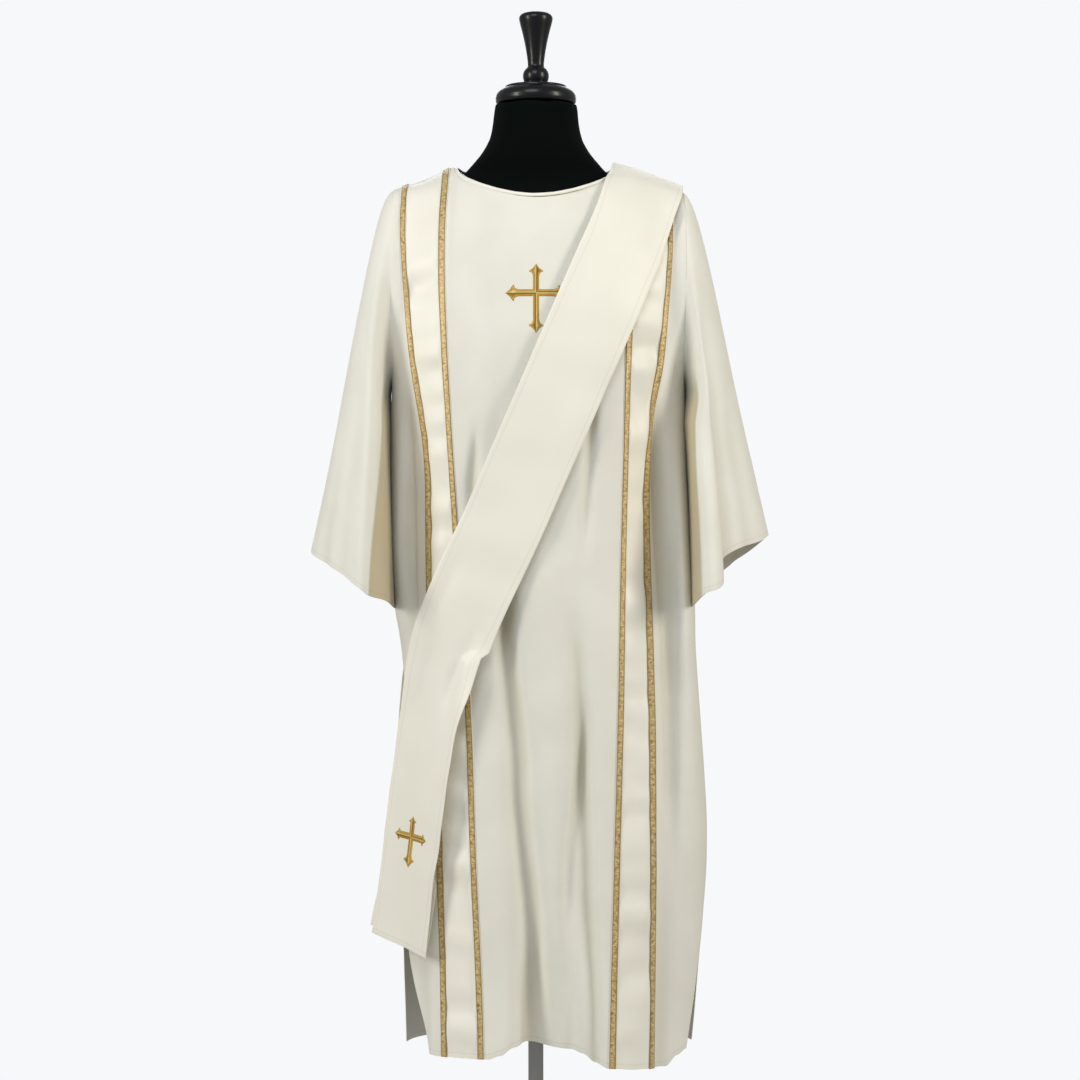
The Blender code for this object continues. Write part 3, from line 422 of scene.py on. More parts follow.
setStudio()
looks = {
    "crepe": crepeCloth(),
    "satin": satinCloth("cream satin", [("Y", stitch["hem"])]),
    "stole": satinCloth(
        "cream satin with topstitched edges", [("Y", stitch["hem"]), ("X", stitch["stoleEdge"])]),
    "braid": braidWeave(),
    "embroidery": embroideryThread(),
    "jersey": blackJersey(),
    "lacquered_wood": blackLacquer(),
    "steel": greySteel(),
}
print("studio and materials ready")


packedCloth = {
    "thickness": 0.0018, "stoleThickness": 0.0016,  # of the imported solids' walls
    "sameLength": 0.000004, "merge": 1e-5,
}


def outerFace(nodeName, away):
    # the outer face of a cloth solid as quads, with its rows and columns and its real lengths as UVs
    bm = bmesh.new()
    bm.from_mesh(nodes[nodeName].data)
    bmesh.ops.remove_doubles(bm, verts=bm.verts, dist=packedCloth["merge"])
    # each face of the rim has one edge as long as the solid's cloth is thick
    thickness = packedCloth["stoleThickness" if nodeName.startswith("stole") else "thickness"]
    rim = [
        face for face in bm.faces
        if any(abs(edge.calc_length() - thickness) < packedCloth["sameLength"] for edge in face.edges)]
    bmesh.ops.delete(bm, geom=rim, context="FACES_ONLY")
    bm.normal_update()
    away = Vector(away)
    facing = [face for face in bm.faces if face.normal.dot(away) > 0.8]
    seed = max(facing, key=lambda face: face.calc_center_median().dot(away))
    kept, queue = {seed}, [seed]
    while queue:
        for edge in queue.pop().edges:
            for face in edge.link_faces:
                if face not in kept:
                    kept.add(face)
                    queue.append(face)
    bmesh.ops.delete(bm, geom=[face for face in bm.faces if face not in kept], context="FACES")
    loose = [vert for vert in bm.verts if not vert.link_faces]
    bmesh.ops.delete(bm, geom=loose, context="VERTS")
    markGrid(bm)
    return bm


def gridPlaces(bm):
    # every triangle's corners as whole (column, row) numbers, spread from the squarest one
    def skew(face):
        a, b, c = sorted(edge.calc_length() for edge in face.edges)
        return abs(a * a + b * b - c * c) / (a * b)

    start = min(bm.faces, key=skew)
    longest = max(start.edges, key=lambda edge: edge.calc_length())
    square = next(vert for vert in start.verts if vert not in longest.verts)
    one, two = longest.verts
    if (one.co - square.co).length > (two.co - square.co).length:
        one, two = two, one
    places = {start: {square: Vector((0, 0)), one: Vector((1, 0)), two: Vector((0, 1))}}
    queue = [start]
    while queue:
        face = queue.pop(0)
        at = places[face]
        for edge in face.edges:
            for other in edge.link_faces:
                if other in places:
                    continue
                a, b = edge.verts
                back = next(vert for vert in face.verts if vert not in edge.verts)
                new = next(vert for vert in other.verts if vert not in edge.verts)
                places[other] = {a: at[a], b: at[b], new: at[a] + at[b] - at[back]}
                queue.append(other)

    # the squares' diagonals are the longest kind of edge that never lies on the border
    kinds = {}
    for at in places.values():
        for a, b in ((a, b) for a in at for b in at if a is not b):
            step = at[b] - at[a]
            kind = (bool(step.x), bool(step.y))
            found = kinds.setdefault(kind, [0, 0, 0])
            edge = bm.edges.get((a, b))
            found[0] += edge.is_boundary
            found[1] += edge.calc_length()
            found[2] += 1
    inside = {kind: found[1] / found[2] for kind, found in kinds.items() if not found[0]}
    diagonal = max(inside, key=inside.get)
    for at in places.values():
        for vert, place in at.items():
            if diagonal == (True, False):
                at[vert] = Vector((place.x + place.y, place.x))
            elif diagonal == (False, True):
                at[vert] = Vector((place.x + place.y, -place.y))
    return places


def markGrid(bm):
    places = gridPlaces(bm)
    steps = {0: [], 1: []}
    for at in places.values():
        for a, b in ((a, b) for a in at for b in at if a is not b):
            step = at[b] - at[a]
            if abs(step.x) + abs(step.y) == 1:
                steps[0 if step.x else 1].append(((b.co - a.co) * (step.x + step.y), (b.co - a.co).length))
    mean = {axis: sum(length for _, length in found) / len(found) for axis, found in steps.items()}
    rows = 1 if mean[1] > mean[0] else 0
    climb = sum(move.z for move, _ in steps[rows])
    rowSign = 1 if climb > 0 else -1

    def turned(place):
        return Vector((place[1 - rows], place[rows] * rowSign))

    # columns run to the right as seen from outside
    face, at = next(iter(places.items()))
    corners = [turned(at[vert]) for vert in face.verts]
    turn = (corners[1] - corners[0]).cross(corners[2] - corners[0])
    columnSign = 1 if turn > 0 else -1
    for at in places.values():
        for vert, place in at.items():
            place = turned(place)
            at[vert] = Vector((place.x * columnSign, place.y))
    allPlaces = [place for at in places.values() for place in at.values()]
    low = Vector((min(p.x for p in allPlaces), min(p.y for p in allPlaces)))
    rowCount = round(max(p.y for p in allPlaces) - low.y) + 1
    columnCount = len(bm.verts) // rowCount
    closed = len({tuple(p) for p in allPlaces}) > len(bm.verts)

    points = {}
    for face, at in places.items():
        first = min(place.x for place in at.values()) - low.x
        wrap = first - first % columnCount if closed else 0
        for vert in at:
            at[vert] = at[vert] - low - Vector((wrap, 0))
            column, row = int(at[vert].x), int(at[vert].y)
            points[column % columnCount if closed else column, row] = vert.co.copy()
    columns = range(columnCount + closed)
    across, up = {}, {}
    for j in range(rowCount):
        total = 0
        for i in columns:
            here = points[i % columnCount, j]
            if i:
                total += (here - points[(i - 1) % columnCount, j]).length
            across[i, j] = total
            up[i, j] = up[i, j - 1] + (here - points[i % columnCount, j - 1]).length if j else 0
        for i in columns:
            across[i, j] -= total / 2

    grid = bm.loops.layers.uv.new("grid")
    cloth = bm.loops.layers.uv.new("cloth")
    diagonals = set()
    for face, at in places.items():
        for loop in face.loops:
            place = at[loop.vert]
            key = int(place.x), int(place.y)
            loop[grid].uv = place
            loop[cloth].uv = across[key], up[key]
            step = at[loop.link_loop_next.vert] - place
            if abs(step.x) + abs(step.y) == 2:
                diagonals.add(loop.edge)
    bmesh.ops.dissolve_edges(bm, edges=list(diagonals), use_verts=False)


def refined(bm, levels):
    # a finer copy by Catmull-Clark, with its corners kept
    obj = addObject("work", bm)
    smooth = obj.modifiers.new("smooth", "SUBSURF")
    smooth.levels = smooth.render_levels = levels
    smooth.uv_smooth = "NONE"
    smooth.boundary_smooth = "PRESERVE_CORNERS"
    bpy.context.view_layer.update()
    mesh = bpy.data.meshes.new_from_object(obj.evaluated_get(bpy.context.evaluated_depsgraph_get()))
    fine = bmesh.new()
    fine.from_mesh(mesh)
    bpy.data.objects.remove(obj)
    bpy.data.meshes.remove(mesh)
    return fine


def onLine(points, at):
    # the value at one place on a line through (place, value) points
    if at <= points[0][0]:
        return points[0][1]
    for (a, low), (b, high) in zip(points, points[1:]):
        if at <= b:
            share = (at - a) / (b - a)
            share = share * share * (3 - 2 * share)
            return low + (high - low) * share
    return points[-1][1]


def eased(share):
    share = min(max(share, 0), 1)
    return share * share * (3 - 2 * share)


def crease(bm, folds, facing):
    # soft troughs (or ridges, where the depth is below nothing) along lines of (height, x)
    bm.normal_update()
    depth = bm.verts.layers.float.get("fold") or bm.verts.layers.float.new("fold")
    for vert in bm.verts:
        height, x = vert.co.z, vert.co.x
        turned = eased(facing * vert.normal.y * 2.5)  # only the side that faces this way
        push = 0
        for line, depths, half in folds:
            deep = onLine(depths, height)
            if deep and turned:
                away = (x - onLine(line, height)) / half
                if abs(away) < 3:
                    push += deep * math.exp(-away * away)
        vert.co -= vert.normal * push * turned
        # the trough's depth is kept in the fold attribute, by which the crepe paints shade into its colour
        vert[depth] += max(push, 0) * turned


def ripple(bm, across, along, depth, seed, lean=0):
    # slow unevenness: waves per metre across and along, on cloth that leans by an angle
    bm.normal_update()
    for vert in bm.verts:
        x, y, z = vert.co
        place = Vector((
            (x * math.cos(lean) - z * math.sin(lean)) * across,
            y * across,
            (x * math.sin(lean) + z * math.cos(lean)) * along + seed))
        vert.co += vert.normal * noise.noise(place) * depth


def hang(bm, hemLine, top, reach):
    # the hem hangs unevenly: (x, lift) points, fading out upwards
    for vert in bm.verts:
        low = eased((top - vert.co.z) / reach)
        if low:
            vert.co.z += onLine(hemLine, vert.co.x) * low


def movedOut(bm, distance):
    bm.normal_update()
    for vert in bm.verts:
        vert.co += vert.normal * distance


def columnsOnly(bm, first, last):
    # a copy of a fine sheet's faces between two of its columns
    part = bm.copy()
    grid = part.loops.layers.uv["grid"]
    outside = []
    for face in part.faces:
        middle = sum(loop[grid].uv.x for loop in face.loops) / len(face.loops)
        if not first < middle < last:
            outside.append(face)
    bmesh.ops.delete(part, geom=outside, context="FACES")
    return part


def clothPiece(name, bm, look, replaced, thickness):
    # a fine sheet becomes a shell whose outer face is the sheet
    bm.loops.layers.uv.remove(bm.loops.layers.uv["grid"])
    piece = addObject(name, bm, look)
    shell = piece.modifiers.new("thickness", "SOLIDIFY")
    shell.thickness = thickness
    shell.offset = -1
    flat = piece.modifiers.new("crisp edges", "WEIGHTED_NORMAL")
    flat.weight = 80
    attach(piece, "root")
    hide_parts(replaced)
    return piece


panel = {
    "levels": 3,
    "thickness": 0.0011,
    "bandOut": 0.0009, "bandThickness": 0.0006,
    "braidOut": 0.0020, "braidThickness": 0.0010, "braidWidth": 0.0103,
    "puckers": (9, 30, 0.0065),  # waves per metre across and along a band, and their depth
    "neckDrop": 0.006,  # the neck edge sags in the middle
    "sideFullness": 0.0025,  # under the arms
    "hemReach": (0.46, 0.27),  # the hem line's unevenness ends at this height, and takes this much to fade
    "ripples": ((9, 4, 0.0016, 2), (24, 15, 0.0006, 8)),  # waves per metre across and along, depth, seed
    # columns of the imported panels: outer braid, inner braid, inner braid, outer braid
    "frontBraids": (6, 9, 24, 27),
    "backBraids": (4, 7, 20, 23),
    # each fold: a line of (height, x), depths of (height, depth), half width
    "frontFolds": [
        (((0.20, -0.004), (0.33, -0.003), (0.57, -0.024), (0.80, -0.0435), (0.88, -0.05)),
         ((0.19, 0.014), (0.45, 0.011), (0.70, 0.013), (0.79, 0.018), (0.88, 0.0)), 0.0135),
        (((0.24, 0.080), (0.42, 0.070), (0.71, 0.062), (0.82, 0.056)),
         ((0.19, 0.010), (0.50, 0.011), (0.72, 0.009), (0.84, 0.0)), 0.012),
        (((0.41, 0.046), (0.67, 0.071)), ((0.34, 0.0), (0.42, 0.006), (0.60, 0.007), (0.72, 0.0)), 0.009),
        (((0.97, -0.090), (1.04, -0.086)), ((0.92, 0.0), (0.98, 0.009), (1.03, 0.008), (1.08, 0.0)), 0.007),
        (((0.94, 0.072), (1.08, 0.078)), ((0.86, 0.0), (0.96, 0.007), (1.07, 0.009), (1.13, 0.0)), 0.008),
        (((0.40, 0.198), (0.70, 0.190), (1.035, 0.176), (1.15, 0.170)),
         ((0.40, 0.0), (0.62, 0.010), (1.00, 0.014), (1.12, 0.005), (1.2, 0.0)), 0.009),
        (((0.72, -0.1755), (0.90, -0.179), (1.08, -0.1815)),
         ((0.66, 0.0), (0.76, 0.010), (0.95, 0.009), (1.05, 0.005), (1.14, 0.0)), 0.006),
        (((0.19, 0.180), (0.60, 0.184)), ((0.19, 0.009), (0.50, 0.004), (0.64, 0.0)), 0.013),
        (((0.19, 0.030), (0.70, 0.020), (0.90, 0.006)),
         ((0.19, -0.005), (0.55, -0.003), (0.86, -0.003), (0.95, 0.0)), 0.022),
        (((0.19, -0.160), (0.50, -0.170)), ((0.19, 0.007), (0.45, 0.004), (0.56, 0.0)), 0.011),
        (((0.60, 0.150), (1.20, 0.145)), ((0.60, 0.0), (0.80, 0.003), (1.10, 0.003), (1.25, 0.0)), 0.018),
        (((1.00, -0.050), (1.34, -0.085)), ((1.00, 0.0), (1.12, 0.003), (1.28, 0.003), (1.36, 0.0)), 0.020),
    ],
    "frontHem": (
        (-0.168, -0.006), (-0.067, -0.006), (-0.050, -0.001), (-0.031, 0.010), (-0.017, 0.0115), (0.017, 0.008),
        (0.050, 0.004), (0.067, -0.001), (0.084, -0.013), (0.104, -0.020), (0.146, -0.024), (0.185, -0.026),
        (0.202, -0.011), (0.215, -0.004)),
    "backFolds": [
        (((0.20, 0.020), (0.70, 0.004), (1.10, 0.012)),
         ((0.19, 0.014), (0.60, 0.008), (1.00, 0.003), (1.12, 0.0)), 0.019),
        (((0.20, -0.062), (0.70, -0.050), (1.00, -0.060)), ((0.19, 0.010), (0.60, 0.007), (0.95, 0.0)), 0.015),
        (((0.20, 0.094), (0.75, 0.076), (1.05, 0.090)), ((0.19, 0.011), (0.60, 0.007), (1.02, 0.0)), 0.015),
        (((0.20, -0.150), (0.70, -0.162), (1.10, -0.172)),
         ((0.19, 0.008), (0.60, 0.007), (1.00, 0.007), (1.16, 0.0)), 0.012),
        (((0.20, 0.176), (0.70, 0.186), (1.10, 0.172)),
         ((0.19, 0.008), (0.60, 0.008), (1.00, 0.009), (1.16, 0.0)), 0.013),
        (((1.00, 0.060), (1.36, 0.100)), ((0.98, 0.0), (1.10, 0.004), (1.28, 0.004), (1.38, 0.0)), 0.020),
        (((1.00, -0.050), (1.36, -0.095)), ((0.98, 0.0), (1.10, 0.004), (1.28, 0.004), (1.38, 0.0)), 0.020),
    ],
    "backHem": (
        (-0.150, -0.004), (-0.100, 0.003), (-0.062, 0.006), (-0.030, -0.004), (0.020, 0.008), (0.060, -0.006),
        (0.094, 0.006), (0.150, -0.008), (0.200, -0.002)),
}


def loweredNeck(bm):
    # only the front of the neckline, and most in its middle
    for vert in bm.verts:
        if vert.co.y < 0:
            share = eased((vert.co.z - 1.32) / 0.08) * math.exp(-((vert.co.x / 0.062) ** 2))
            vert.co.z -= panel["neckDrop"] * share


def fuller(bm):
    # the sides between the slits and the armholes
    for vert in bm.verts:
        x, _, z = vert.co
        near = eased((abs(x) - 0.17) / 0.03) * eased((z - 0.74) / 0.08) * eased((1.16 - z) / 0.08)
        vert.co.x += math.copysign(panel["sideFullness"], x) * near


def pucker(bm, braids):
    # the satin draws the cloth under it into small waves between its braids
    grid = bm.loops.layers.uv["grid"]
    across, along, depth = panel["puckers"]
    bm.normal_update()
    for vert in bm.verts:
        column = vert.link_loops[0][grid].uv.x
        for first, last in (braids[:2], braids[2:]):
            share = (column - first) / (last + 1 - first)
            inside = eased((share - 0.16) / 0.16) * eased((0.84 - share) / 0.16)
            if inside:
                wave = noise.noise(Vector((vert.co.x * across, 3, vert.co.z * along)))
                vert.co += vert.normal * wave * depth * inside


def makePanel(word, facing):
    folds, braids, hemLine = panel[word + "Folds"], panel[word + "Braids"], panel[word + "Hem"]
    sheet = refined(outerFace(word + "_panel", (0, facing, 0)), panel["levels"])
    crease(sheet, folds, facing)
    hang(sheet, hemLine, *panel["hemReach"])
    loweredNeck(sheet)
    fuller(sheet)
    for waves in panel["ripples"]:
        ripple(sheet, *waves)
    pucker(sheet, braids)
    sheet.normal_update()
    surface = BVHTree.FromBMesh(sheet)
    trims = {}
    hands = ("left", "right") if facing < 0 else ("right", "left")
    orders = (("outer", "inner"), ("inner", "outer"))
    for hand, order, (first, second) in zip(hands, orders, (braids[:2], braids[2:])):
        raised = sheet.copy()
        movedOut(raised, panel["bandOut"])
        band = columnsOnly(raised, first, second + 1)
        raised.free()
        name = word + "_band_" + hand
        trims[name] = clothPiece(name + "_satin", band, looks["satin"], name, panel["bandThickness"])
        raised = sheet.copy()
        movedOut(raised, panel["braidOut"])
        for place, column in zip(order, (first, second)):
            strip = columnsOnly(raised, column + 0.125, column + 0.875)
            grid, cloth = strip.loops.layers.uv["grid"], strip.loops.layers.uv["cloth"]
            for face in strip.faces:
                for loop in face.loops:
                    loop[cloth].uv.x = (loop[grid].uv.x - column - 0.5) * panel["braidWidth"]
            name = word + "_braid_" + hand + "_" + place
            trims[name] = clothPiece(
                name + "_galloon", strip, looks["braid"], name, panel["braidThickness"])
        raised.free()
    cloth = clothPiece(
        word + "_panel_crepe", sheet, looks["crepe"], word + "_panel", panel["thickness"])
    return {"cloth": cloth, "trims": trims, "surface": surface}


front = makePanel("front", -1)
back = makePanel("back", 1)
print("front and back panels made")


sleeve = {
    "levels": 3, "thickness": 0.0011,
    "leftFront": [
        (((0.84, -0.272), (1.20, -0.245)), ((0.80, 0.006), (1.00, 0.004), (1.22, 0.0)), 0.012),
        (((0.84, -0.246), (1.15, -0.232)), ((0.80, -0.003), (1.00, -0.003), (1.20, 0.0)), 0.010),
        (((0.88, -0.300), (1.10, -0.270)), ((0.86, 0.005), (1.00, 0.003), (1.15, 0.0)), 0.010),
    ],
    "rightFront": [
        (((0.84, 0.274), (1.10, 0.256), (1.25, 0.236)),
         ((0.80, 0.012), (1.00, 0.008), (1.18, 0.003), (1.26, 0.0)), 0.0075),
        (((0.84, 0.250), (1.15, 0.238)), ((0.80, -0.003), (1.00, -0.003), (1.20, 0.0)), 0.010),
        (((0.88, 0.306), (1.12, 0.276)), ((0.86, 0.007), (1.00, 0.005), (1.18, 0.0)), 0.011),
    ],
    # the front lies in a fold over the underarm part: the fold's edge as (height, x), how far that part is
    # set back, and its painted shade
    "leftFold": (((0.80, -0.2325), (1.09, -0.2195), (1.16, -0.214)), 0.010, 0.040),
    "rightFold": (((0.80, 0.2390), (1.09, 0.2345), (1.16, 0.226)), 0.012, 0.042),
    "leftBack": [
        (((0.84, -0.262), (1.20, -0.240)), ((0.80, 0.009), (1.00, 0.006), (1.24, 0.0)), 0.011),
        (((0.86, -0.294), (1.12, -0.268)), ((0.84, 0.006), (1.00, 0.004), (1.16, 0.0)), 0.010),
        (((0.83, -0.222), (1.09, -0.216)), ((0.80, 0.010), (0.95, 0.008), (1.12, 0.0)), 0.008),
    ],
    "rightBack": [
        (((0.84, 0.268), (1.20, 0.244)), ((0.80, 0.009), (1.00, 0.006), (1.24, 0.0)), 0.011),
        (((0.86, 0.302), (1.12, 0.274)), ((0.84, 0.006), (1.00, 0.004), (1.16, 0.0)), 0.010),
        (((0.83, 0.228), (1.09, 0.222)), ((0.80, 0.010), (0.95, 0.008), (1.12, 0.0)), 0.008),
    ],
    # the underarm side swings in against the body: from where, and how far
    "inward": {"left": (0.234, 0.0045), "right": (0.254, 0.0095)},
    "cuffRise": {"left": 0.010, "right": 0.004},  # the cuff climbs towards the body
    "ripple": (10, 4, 0.0016, 5),
    "seam": (0.009, 0.0022),  # the armhole seam's allowance: how far it runs in and how far it is tucked under
}


def foldUnder(bm, line, back, shade):
    # sets the cloth on the body's side of the line back, and paints shade into its colour through the fold
    # attribute
    bm.normal_update()
    depth = bm.verts.layers.float["fold"]
    for vert in bm.verts:
        height = vert.co.z
        inside = abs(onLine(line, height)) - abs(vert.co.x)
        under = eased(inside / 0.005 + 0.5) * eased((1.17 - height) / 0.10)
        under *= eased(0.6 - vert.normal.y * 2)
        vert[depth] += shade * under
        vert.co.y += back * under * eased(-vert.normal.y * 2)


def makeSleeve(hand, side):
    sheet = refined(outerFace("sleeve_" + hand, (side, 0, 0)), sleeve["levels"])
    sheet.verts.layers.float.new("fold")
    foldUnder(sheet, *sleeve[hand + "Fold"])
    crease(sheet, sleeve[hand + "Front"], -1)
    crease(sheet, sleeve[hand + "Back"], 1)
    cloth = sheet.loops.layers.uv["cloth"]
    start, reach = sleeve["inward"][hand]
    for vert in sheet.verts:
        near = eased((start - abs(vert.co.x)) / 0.024)
        vert.co.x -= side * reach * near * eased((1.13 - vert.co.z) / 0.06)
        vert.co.z += sleeve["cuffRise"][hand] * near * eased(1 - vert.link_loops[0][cloth].uv.y / 0.12)
    ripple(sheet, *sleeve["ripple"])
    head = [edge for edge in sheet.edges if edge.is_boundary and edge.verts[0].co.z > 1.02]
    turnedIn = bmesh.ops.extrude_edge_only(sheet, edges=head)["geom"]
    run, tuck = sleeve["seam"]
    for vert in (item for item in turnedIn if isinstance(item, bmesh.types.BMVert)):
        inward = Vector((0, vert.co.y, vert.co.z - 1.25)).normalized()
        vert.co -= Vector((side * run, 0, 0)) + inward * tuck
    return clothPiece(
        "sleeve_" + hand + "_crepe", sheet, looks["crepe"], "sleeve_" + hand, sleeve["thickness"])


sleeves = {hand: makeSleeve(hand, side) for hand, side in (("left", -1), ("right", 1))}
print("sleeves made")


stole = {
    "levels": 3, "thickness": 0.0012,
    "lean": math.radians(20), "ripple": (7, 18, 0.0022, 4),
    # how far the hip join nips in its front edge
    "notch": ((0.58, 0.0), (0.69, 0.005), (0.743, 0.008), (0.750, 0.0)),
    "shoulderDrop": 0.0045,  # at the edge by the neck
    "frontFolds": [
        (((0.55, -0.150), (0.68, -0.120), (0.80, -0.085)),
         ((0.52, 0.0), (0.60, 0.003), (0.72, 0.004), (0.84, 0.0)), 0.012),
        (((0.62, -0.170), (0.80, -0.140), (0.90, -0.110)),
         ((0.60, 0.0), (0.70, 0.003), (0.82, 0.003), (0.92, 0.0)), 0.014),
        (((0.34, -0.190), (0.60, -0.160)), ((0.32, 0.003), (0.50, 0.003), (0.62, 0.0)), 0.016),
    ],
    "backFolds": [
        (((0.34, -0.200), (0.60, -0.170)), ((0.32, 0.003), (0.50, 0.003), (0.62, 0.0)), 0.014),
        (((0.80, -0.060), (1.10, 0.050)), ((0.78, 0.0), (0.90, 0.002), (1.05, 0.002), (1.14, 0.0)), 0.016),
    ],
}


def makeStole(word, facing):
    sheet = refined(outerFace("stole_" + word, (0, facing, 0)), stole["levels"])
    crease(sheet, stole[word + "Folds"], facing)
    cloth = sheet.loops.layers.uv["cloth"]
    for vert in sheet.verts:
        across = vert.link_loops[0][cloth].uv.x * -facing
        vert.co.x -= onLine(stole["notch"], vert.co.z) * eased(across / 0.05) * (facing < 0)
        near = eased((vert.co.z - 1.40) / 0.05) * math.exp(-(((vert.co.x - 0.105) / 0.03) ** 2))
        vert.co.z -= stole["shoulderDrop"] * near
    ripple(sheet, *stole["ripple"], stole["lean"] * -facing)
    sheet.normal_update()
    surface = BVHTree.FromBMesh(sheet)
    cloth = clothPiece(
        "stole_" + word + "_satin", sheet, looks["stole"], "stole_" + word, stole["thickness"])
    return {"cloth": cloth, "surface": surface}


stoleFront = makeStole("front", -1)
stoleBack = makeStole("back", 1)
print("stole made")


cross = {
    "barHalf": 0.0052, "rise": 0.0019, "sunk": 0.0004, "lap": 0.0003, "thickness": 0.0006,
    "fullArm": 0.0425,  # on a shorter arm the flowered end is smaller too
    # half width along an arm's flowered end, from its tip inwards
    "flower": (
        (-0.0180, 0.0052), (-0.0138, 0.0066), (-0.0104, 0.0126), (-0.0088, 0.0098), (-0.0050, 0.0046),
        (0.0, 0.0008)),
    # up, across, down; place; lean
    "chest": ((0.0415, 0.0425, 0.0565), (0.0005, 1.2555), 0.0),
    "tail": ((0.029, 0.031, 0.044), (-0.1765, 0.4880), math.radians(10)),
}


def makeCross(name, surface, arms, place, lean, replaced):
    # four padded arms with a ridge down the middle, laid on the cloth
    top, normal, _, _ = surface.ray_cast(Vector((place[0], -1, place[1])), Vector((0, 1, 0)))
    upright = Vector((math.sin(lean), 0, math.cos(lean)))
    upright = (upright - normal * upright.dot(normal)).normalized()
    right = upright.cross(normal)
    reach, side, foot = arms
    bar = cross["barHalf"]
    bm = bmesh.new()
    cloth = bm.loops.layers.uv.new("cloth")
    for turn, length in ((0, reach), (1, side), (2, foot), (3, side)):
        arm = bmesh.ops.create_grid(bm, x_segments=8, y_segments=40, size=1)["verts"]
        shine = -1 if turn % 2 else 1  # the flank that faces up or left gets the painted shine
        for vert in arm:
            for loop in vert.link_loops:
                loop[cloth].uv = vert.co.x * shine, (vert.co.y + 1) / 2 * length
        scale = min(length / cross["fullArm"], 1)
        flower = [(length + inward * scale, half * scale) for inward, half in cross["flower"]]
        flower[0] = (flower[0][0], bar)
        ends = [(0, bar)] + flower
        for vert in arm:
            along = (vert.co.y + 1) / 2 * length
            half = onLine(ends, along)
            ridge = 1 - abs(vert.co.x) ** 1.6
            height = cross["rise"] * ridge * (0.55 + 0.45 * min(half, bar) / bar) - cross["sunk"]
            u, v = vert.co.x * half, along
            for _ in range(turn):
                u, v = v, -u
            spot = top + right * u + upright * v
            hit, out, _, _ = surface.ray_cast(spot + normal * 0.04, -normal)
            vert.co = (hit or spot) + (out or normal) * (height + (cross["lap"] if turn % 2 else 0))
    bmesh.ops.recalc_face_normals(bm, faces=bm.faces)
    bm.normal_update()
    if sum(face.normal.dot(normal) for face in bm.faces) < 0:
        bmesh.ops.reverse_faces(bm, faces=bm.faces)
    piece = addObject(name, bm, looks["embroidery"])
    shell = piece.modifiers.new("thickness", "SOLIDIFY")
    shell.thickness = cross["thickness"]
    shell.offset = -1
    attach(piece, "root")
    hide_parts(replaced)
    return piece


chestCross = makeCross("chest_cross_embroidered", front["surface"], *cross["chest"], "chest_cross")
tailCross = makeCross("stole_cross_embroidered", stoleFront["surface"], *cross["tail"], "stole_cross")
print("crosses made")


neck = {"out": 0.0012, "wider": 0.0012, "levels": 2}


def smoothedPiece(name, bm, look, replaced, levels):
    piece = addObject(name, bm, look)
    smooth = piece.modifiers.new("smooth", "SUBSURF")
    smooth.levels = smooth.render_levels = levels
    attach(piece, "root")
    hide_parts(replaced)
    return piece


def mergedCopy(nodeName):
    bm = bmesh.new()
    bm.from_mesh(nodes[nodeName].data)
    bmesh.ops.remove_doubles(bm, verts=bm.verts, dist=packedCloth["merge"])
    return bm


rolled = mergedCopy("neck_binding")
movedOut(rolled, neck["out"])
for vert in rolled.verts:
    flat = Vector((vert.co.x, vert.co.y, 0)).normalized()
    vert.co += flat * neck["wider"]
loweredNeck(rolled)
cloth = rolled.loops.layers.uv.new("cloth")
for face in rolled.faces:
    for loop in face.loops:
        loop[cloth].uv = math.atan2(loop.vert.co.y, loop.vert.co.x) * 0.1, 0.1 + loop.vert.co.z
binding = smoothedPiece("neck_binding_satin", rolled, looks["satin"], "neck_binding", neck["levels"])
torso = smoothedPiece("form_torso_jersey", mergedCopy("form_torso"), looks["jersey"], "form_torso", 2)
print("binding and form made")


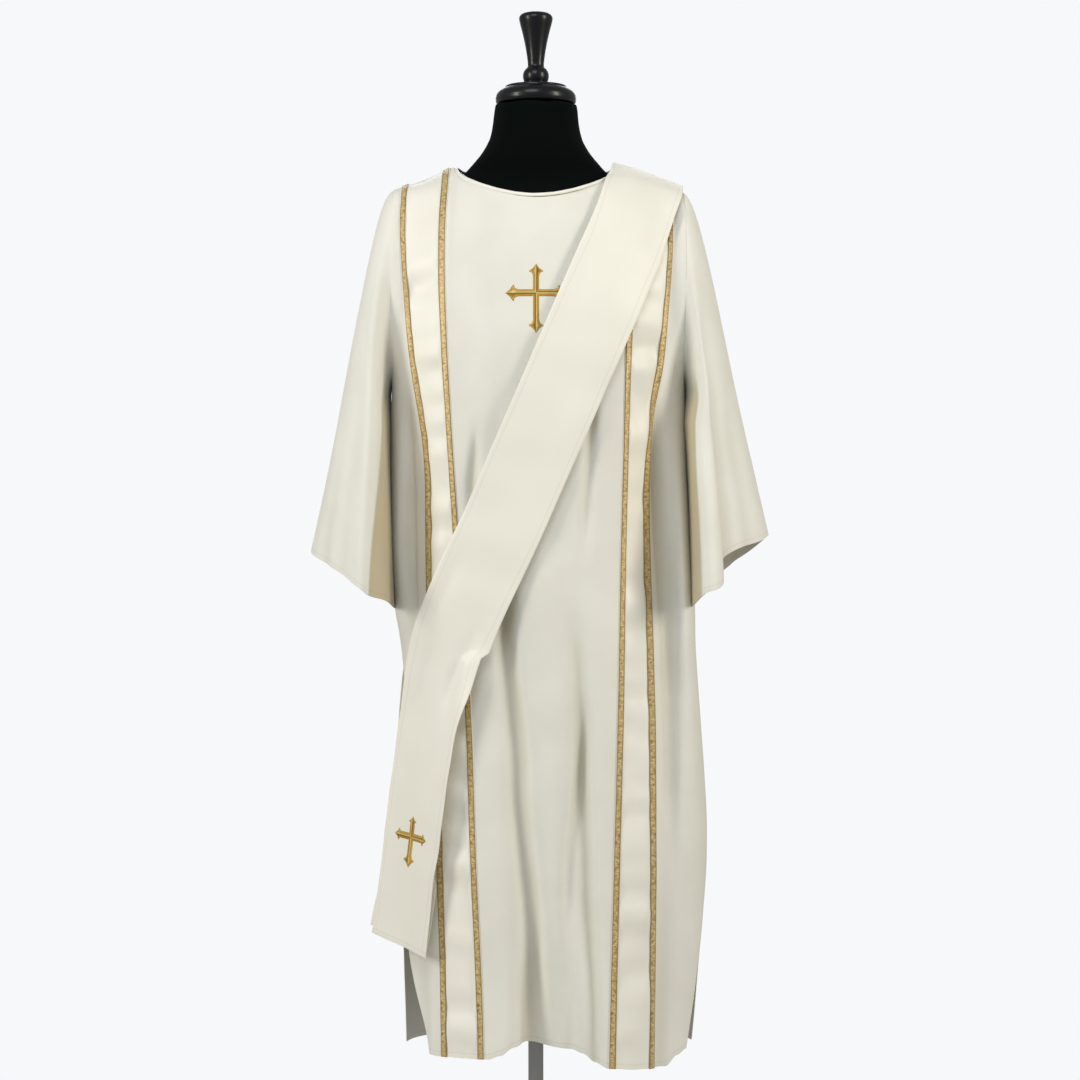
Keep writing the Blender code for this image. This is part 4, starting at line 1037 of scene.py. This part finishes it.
# turned and drawn parts of the stand: (radius, height) from the bottom up
turnedParts = {
    "neck_cap": ("lacquered_wood", (
        (0.0, 1.5399), (0.048, 1.5399), (0.0550, 1.5402), (0.0582, 1.5425), (0.0589, 1.5470), (0.0589, 1.5515),
        (0.0572, 1.5568), (0.0530, 1.5610), (0.0478, 1.5632), (0.0455, 1.5637), (0.0450, 1.5645),
        (0.0450, 1.5668),
        (0.0440, 1.5679), (0.0, 1.5680))),
    "finial": ("lacquered_wood", (
        (0.0, 1.5684), (0.0160, 1.5684), (0.0176, 1.5690), (0.0172, 1.5705), (0.0160, 1.5718), (0.0182, 1.5755),
        (0.0193, 1.5810), (0.0186, 1.5875), (0.0155, 1.5922), (0.0123, 1.5945), (0.0116, 1.5970),
        (0.0120, 1.6030),
        (0.0146, 1.6220), (0.0192, 1.6430), (0.0234, 1.6580), (0.0249, 1.6640), (0.0246, 1.6685),
        (0.0210, 1.6724),
        (0.0130, 1.6742), (0.0, 1.6744))),
    "pole": ("steel", (
        (0.0, 0.0464), (0.0104, 0.0464), (0.0110, 0.0470), (0.0110, 0.3), (0.0110, 0.7388), (0.0104, 0.7396),
        (0.0, 0.7396))),
    "base_collar": ("steel", (
        (0.0, 0.0134), (0.0294, 0.0134), (0.0300, 0.0140), (0.0300, 0.0200), (0.0288, 0.0222), (0.0210, 0.0270),
        (0.0172, 0.0320), (0.0158, 0.0400), (0.0158, 0.0448), (0.0150, 0.0459), (0.0, 0.0459))),
    "base_plate": ("steel", (
        (0.0, 0.0), (0.1560, 0.0), (0.1592, 0.0008), (0.1600, 0.0030), (0.1600, 0.0070), (0.1588, 0.0096),
        (0.1540, 0.0112),
        (0.1000, 0.0124), (0.0400, 0.0129), (0.0, 0.0129))),
}


def makeTurned(name):
    # a profile spun round the stand's middle line
    slot, profile = turnedParts[name]
    bm = bmesh.new()
    verts = [bm.verts.new((radius, 0, height)) for radius, height in profile]
    edges = [bm.edges.new(pair) for pair in zip(verts, verts[1:])]
    bmesh.ops.spin(
        bm, geom=verts + edges, cent=(0, 0, 0), axis=(0, 0, 1), angle=math.tau, steps=48, use_merge=True)
    bmesh.ops.remove_doubles(bm, verts=bm.verts, dist=1e-6)
    bmesh.ops.recalc_face_normals(bm, faces=bm.faces)
    return smoothedPiece(name + "_turned", bm, looks[slot], name, 1)


for name in turnedParts:
    makeTurned(name)
print("stand made")


# flat width and length that each cloth was cut to, and its flat area where it isn't a rectangle
cuts = {
    "frontPanel": ((0.600, 1.330), 0.69), "backPanel": ((0.620, 1.315), 0.71),
    "frontBand": (0.068, 1.315), "backBand": (0.075, 1.306),
    "sleeveLeft": ((0.830, 0.540), 0.27), "sleeveRight": ((0.820, 0.520), 0.255),
    "stoleFront": (0.115, 1.254), "stoleBack": (0.115, 1.342),
}
for word, side, extras in (("front", front, [binding, chestCross]), ("back", back, [])):
    flat, area = cuts[word + "Panel"]
for hand, key in (("left", "sleeveLeft"), ("right", "sleeveRight")):
    flat, area = cuts[key]
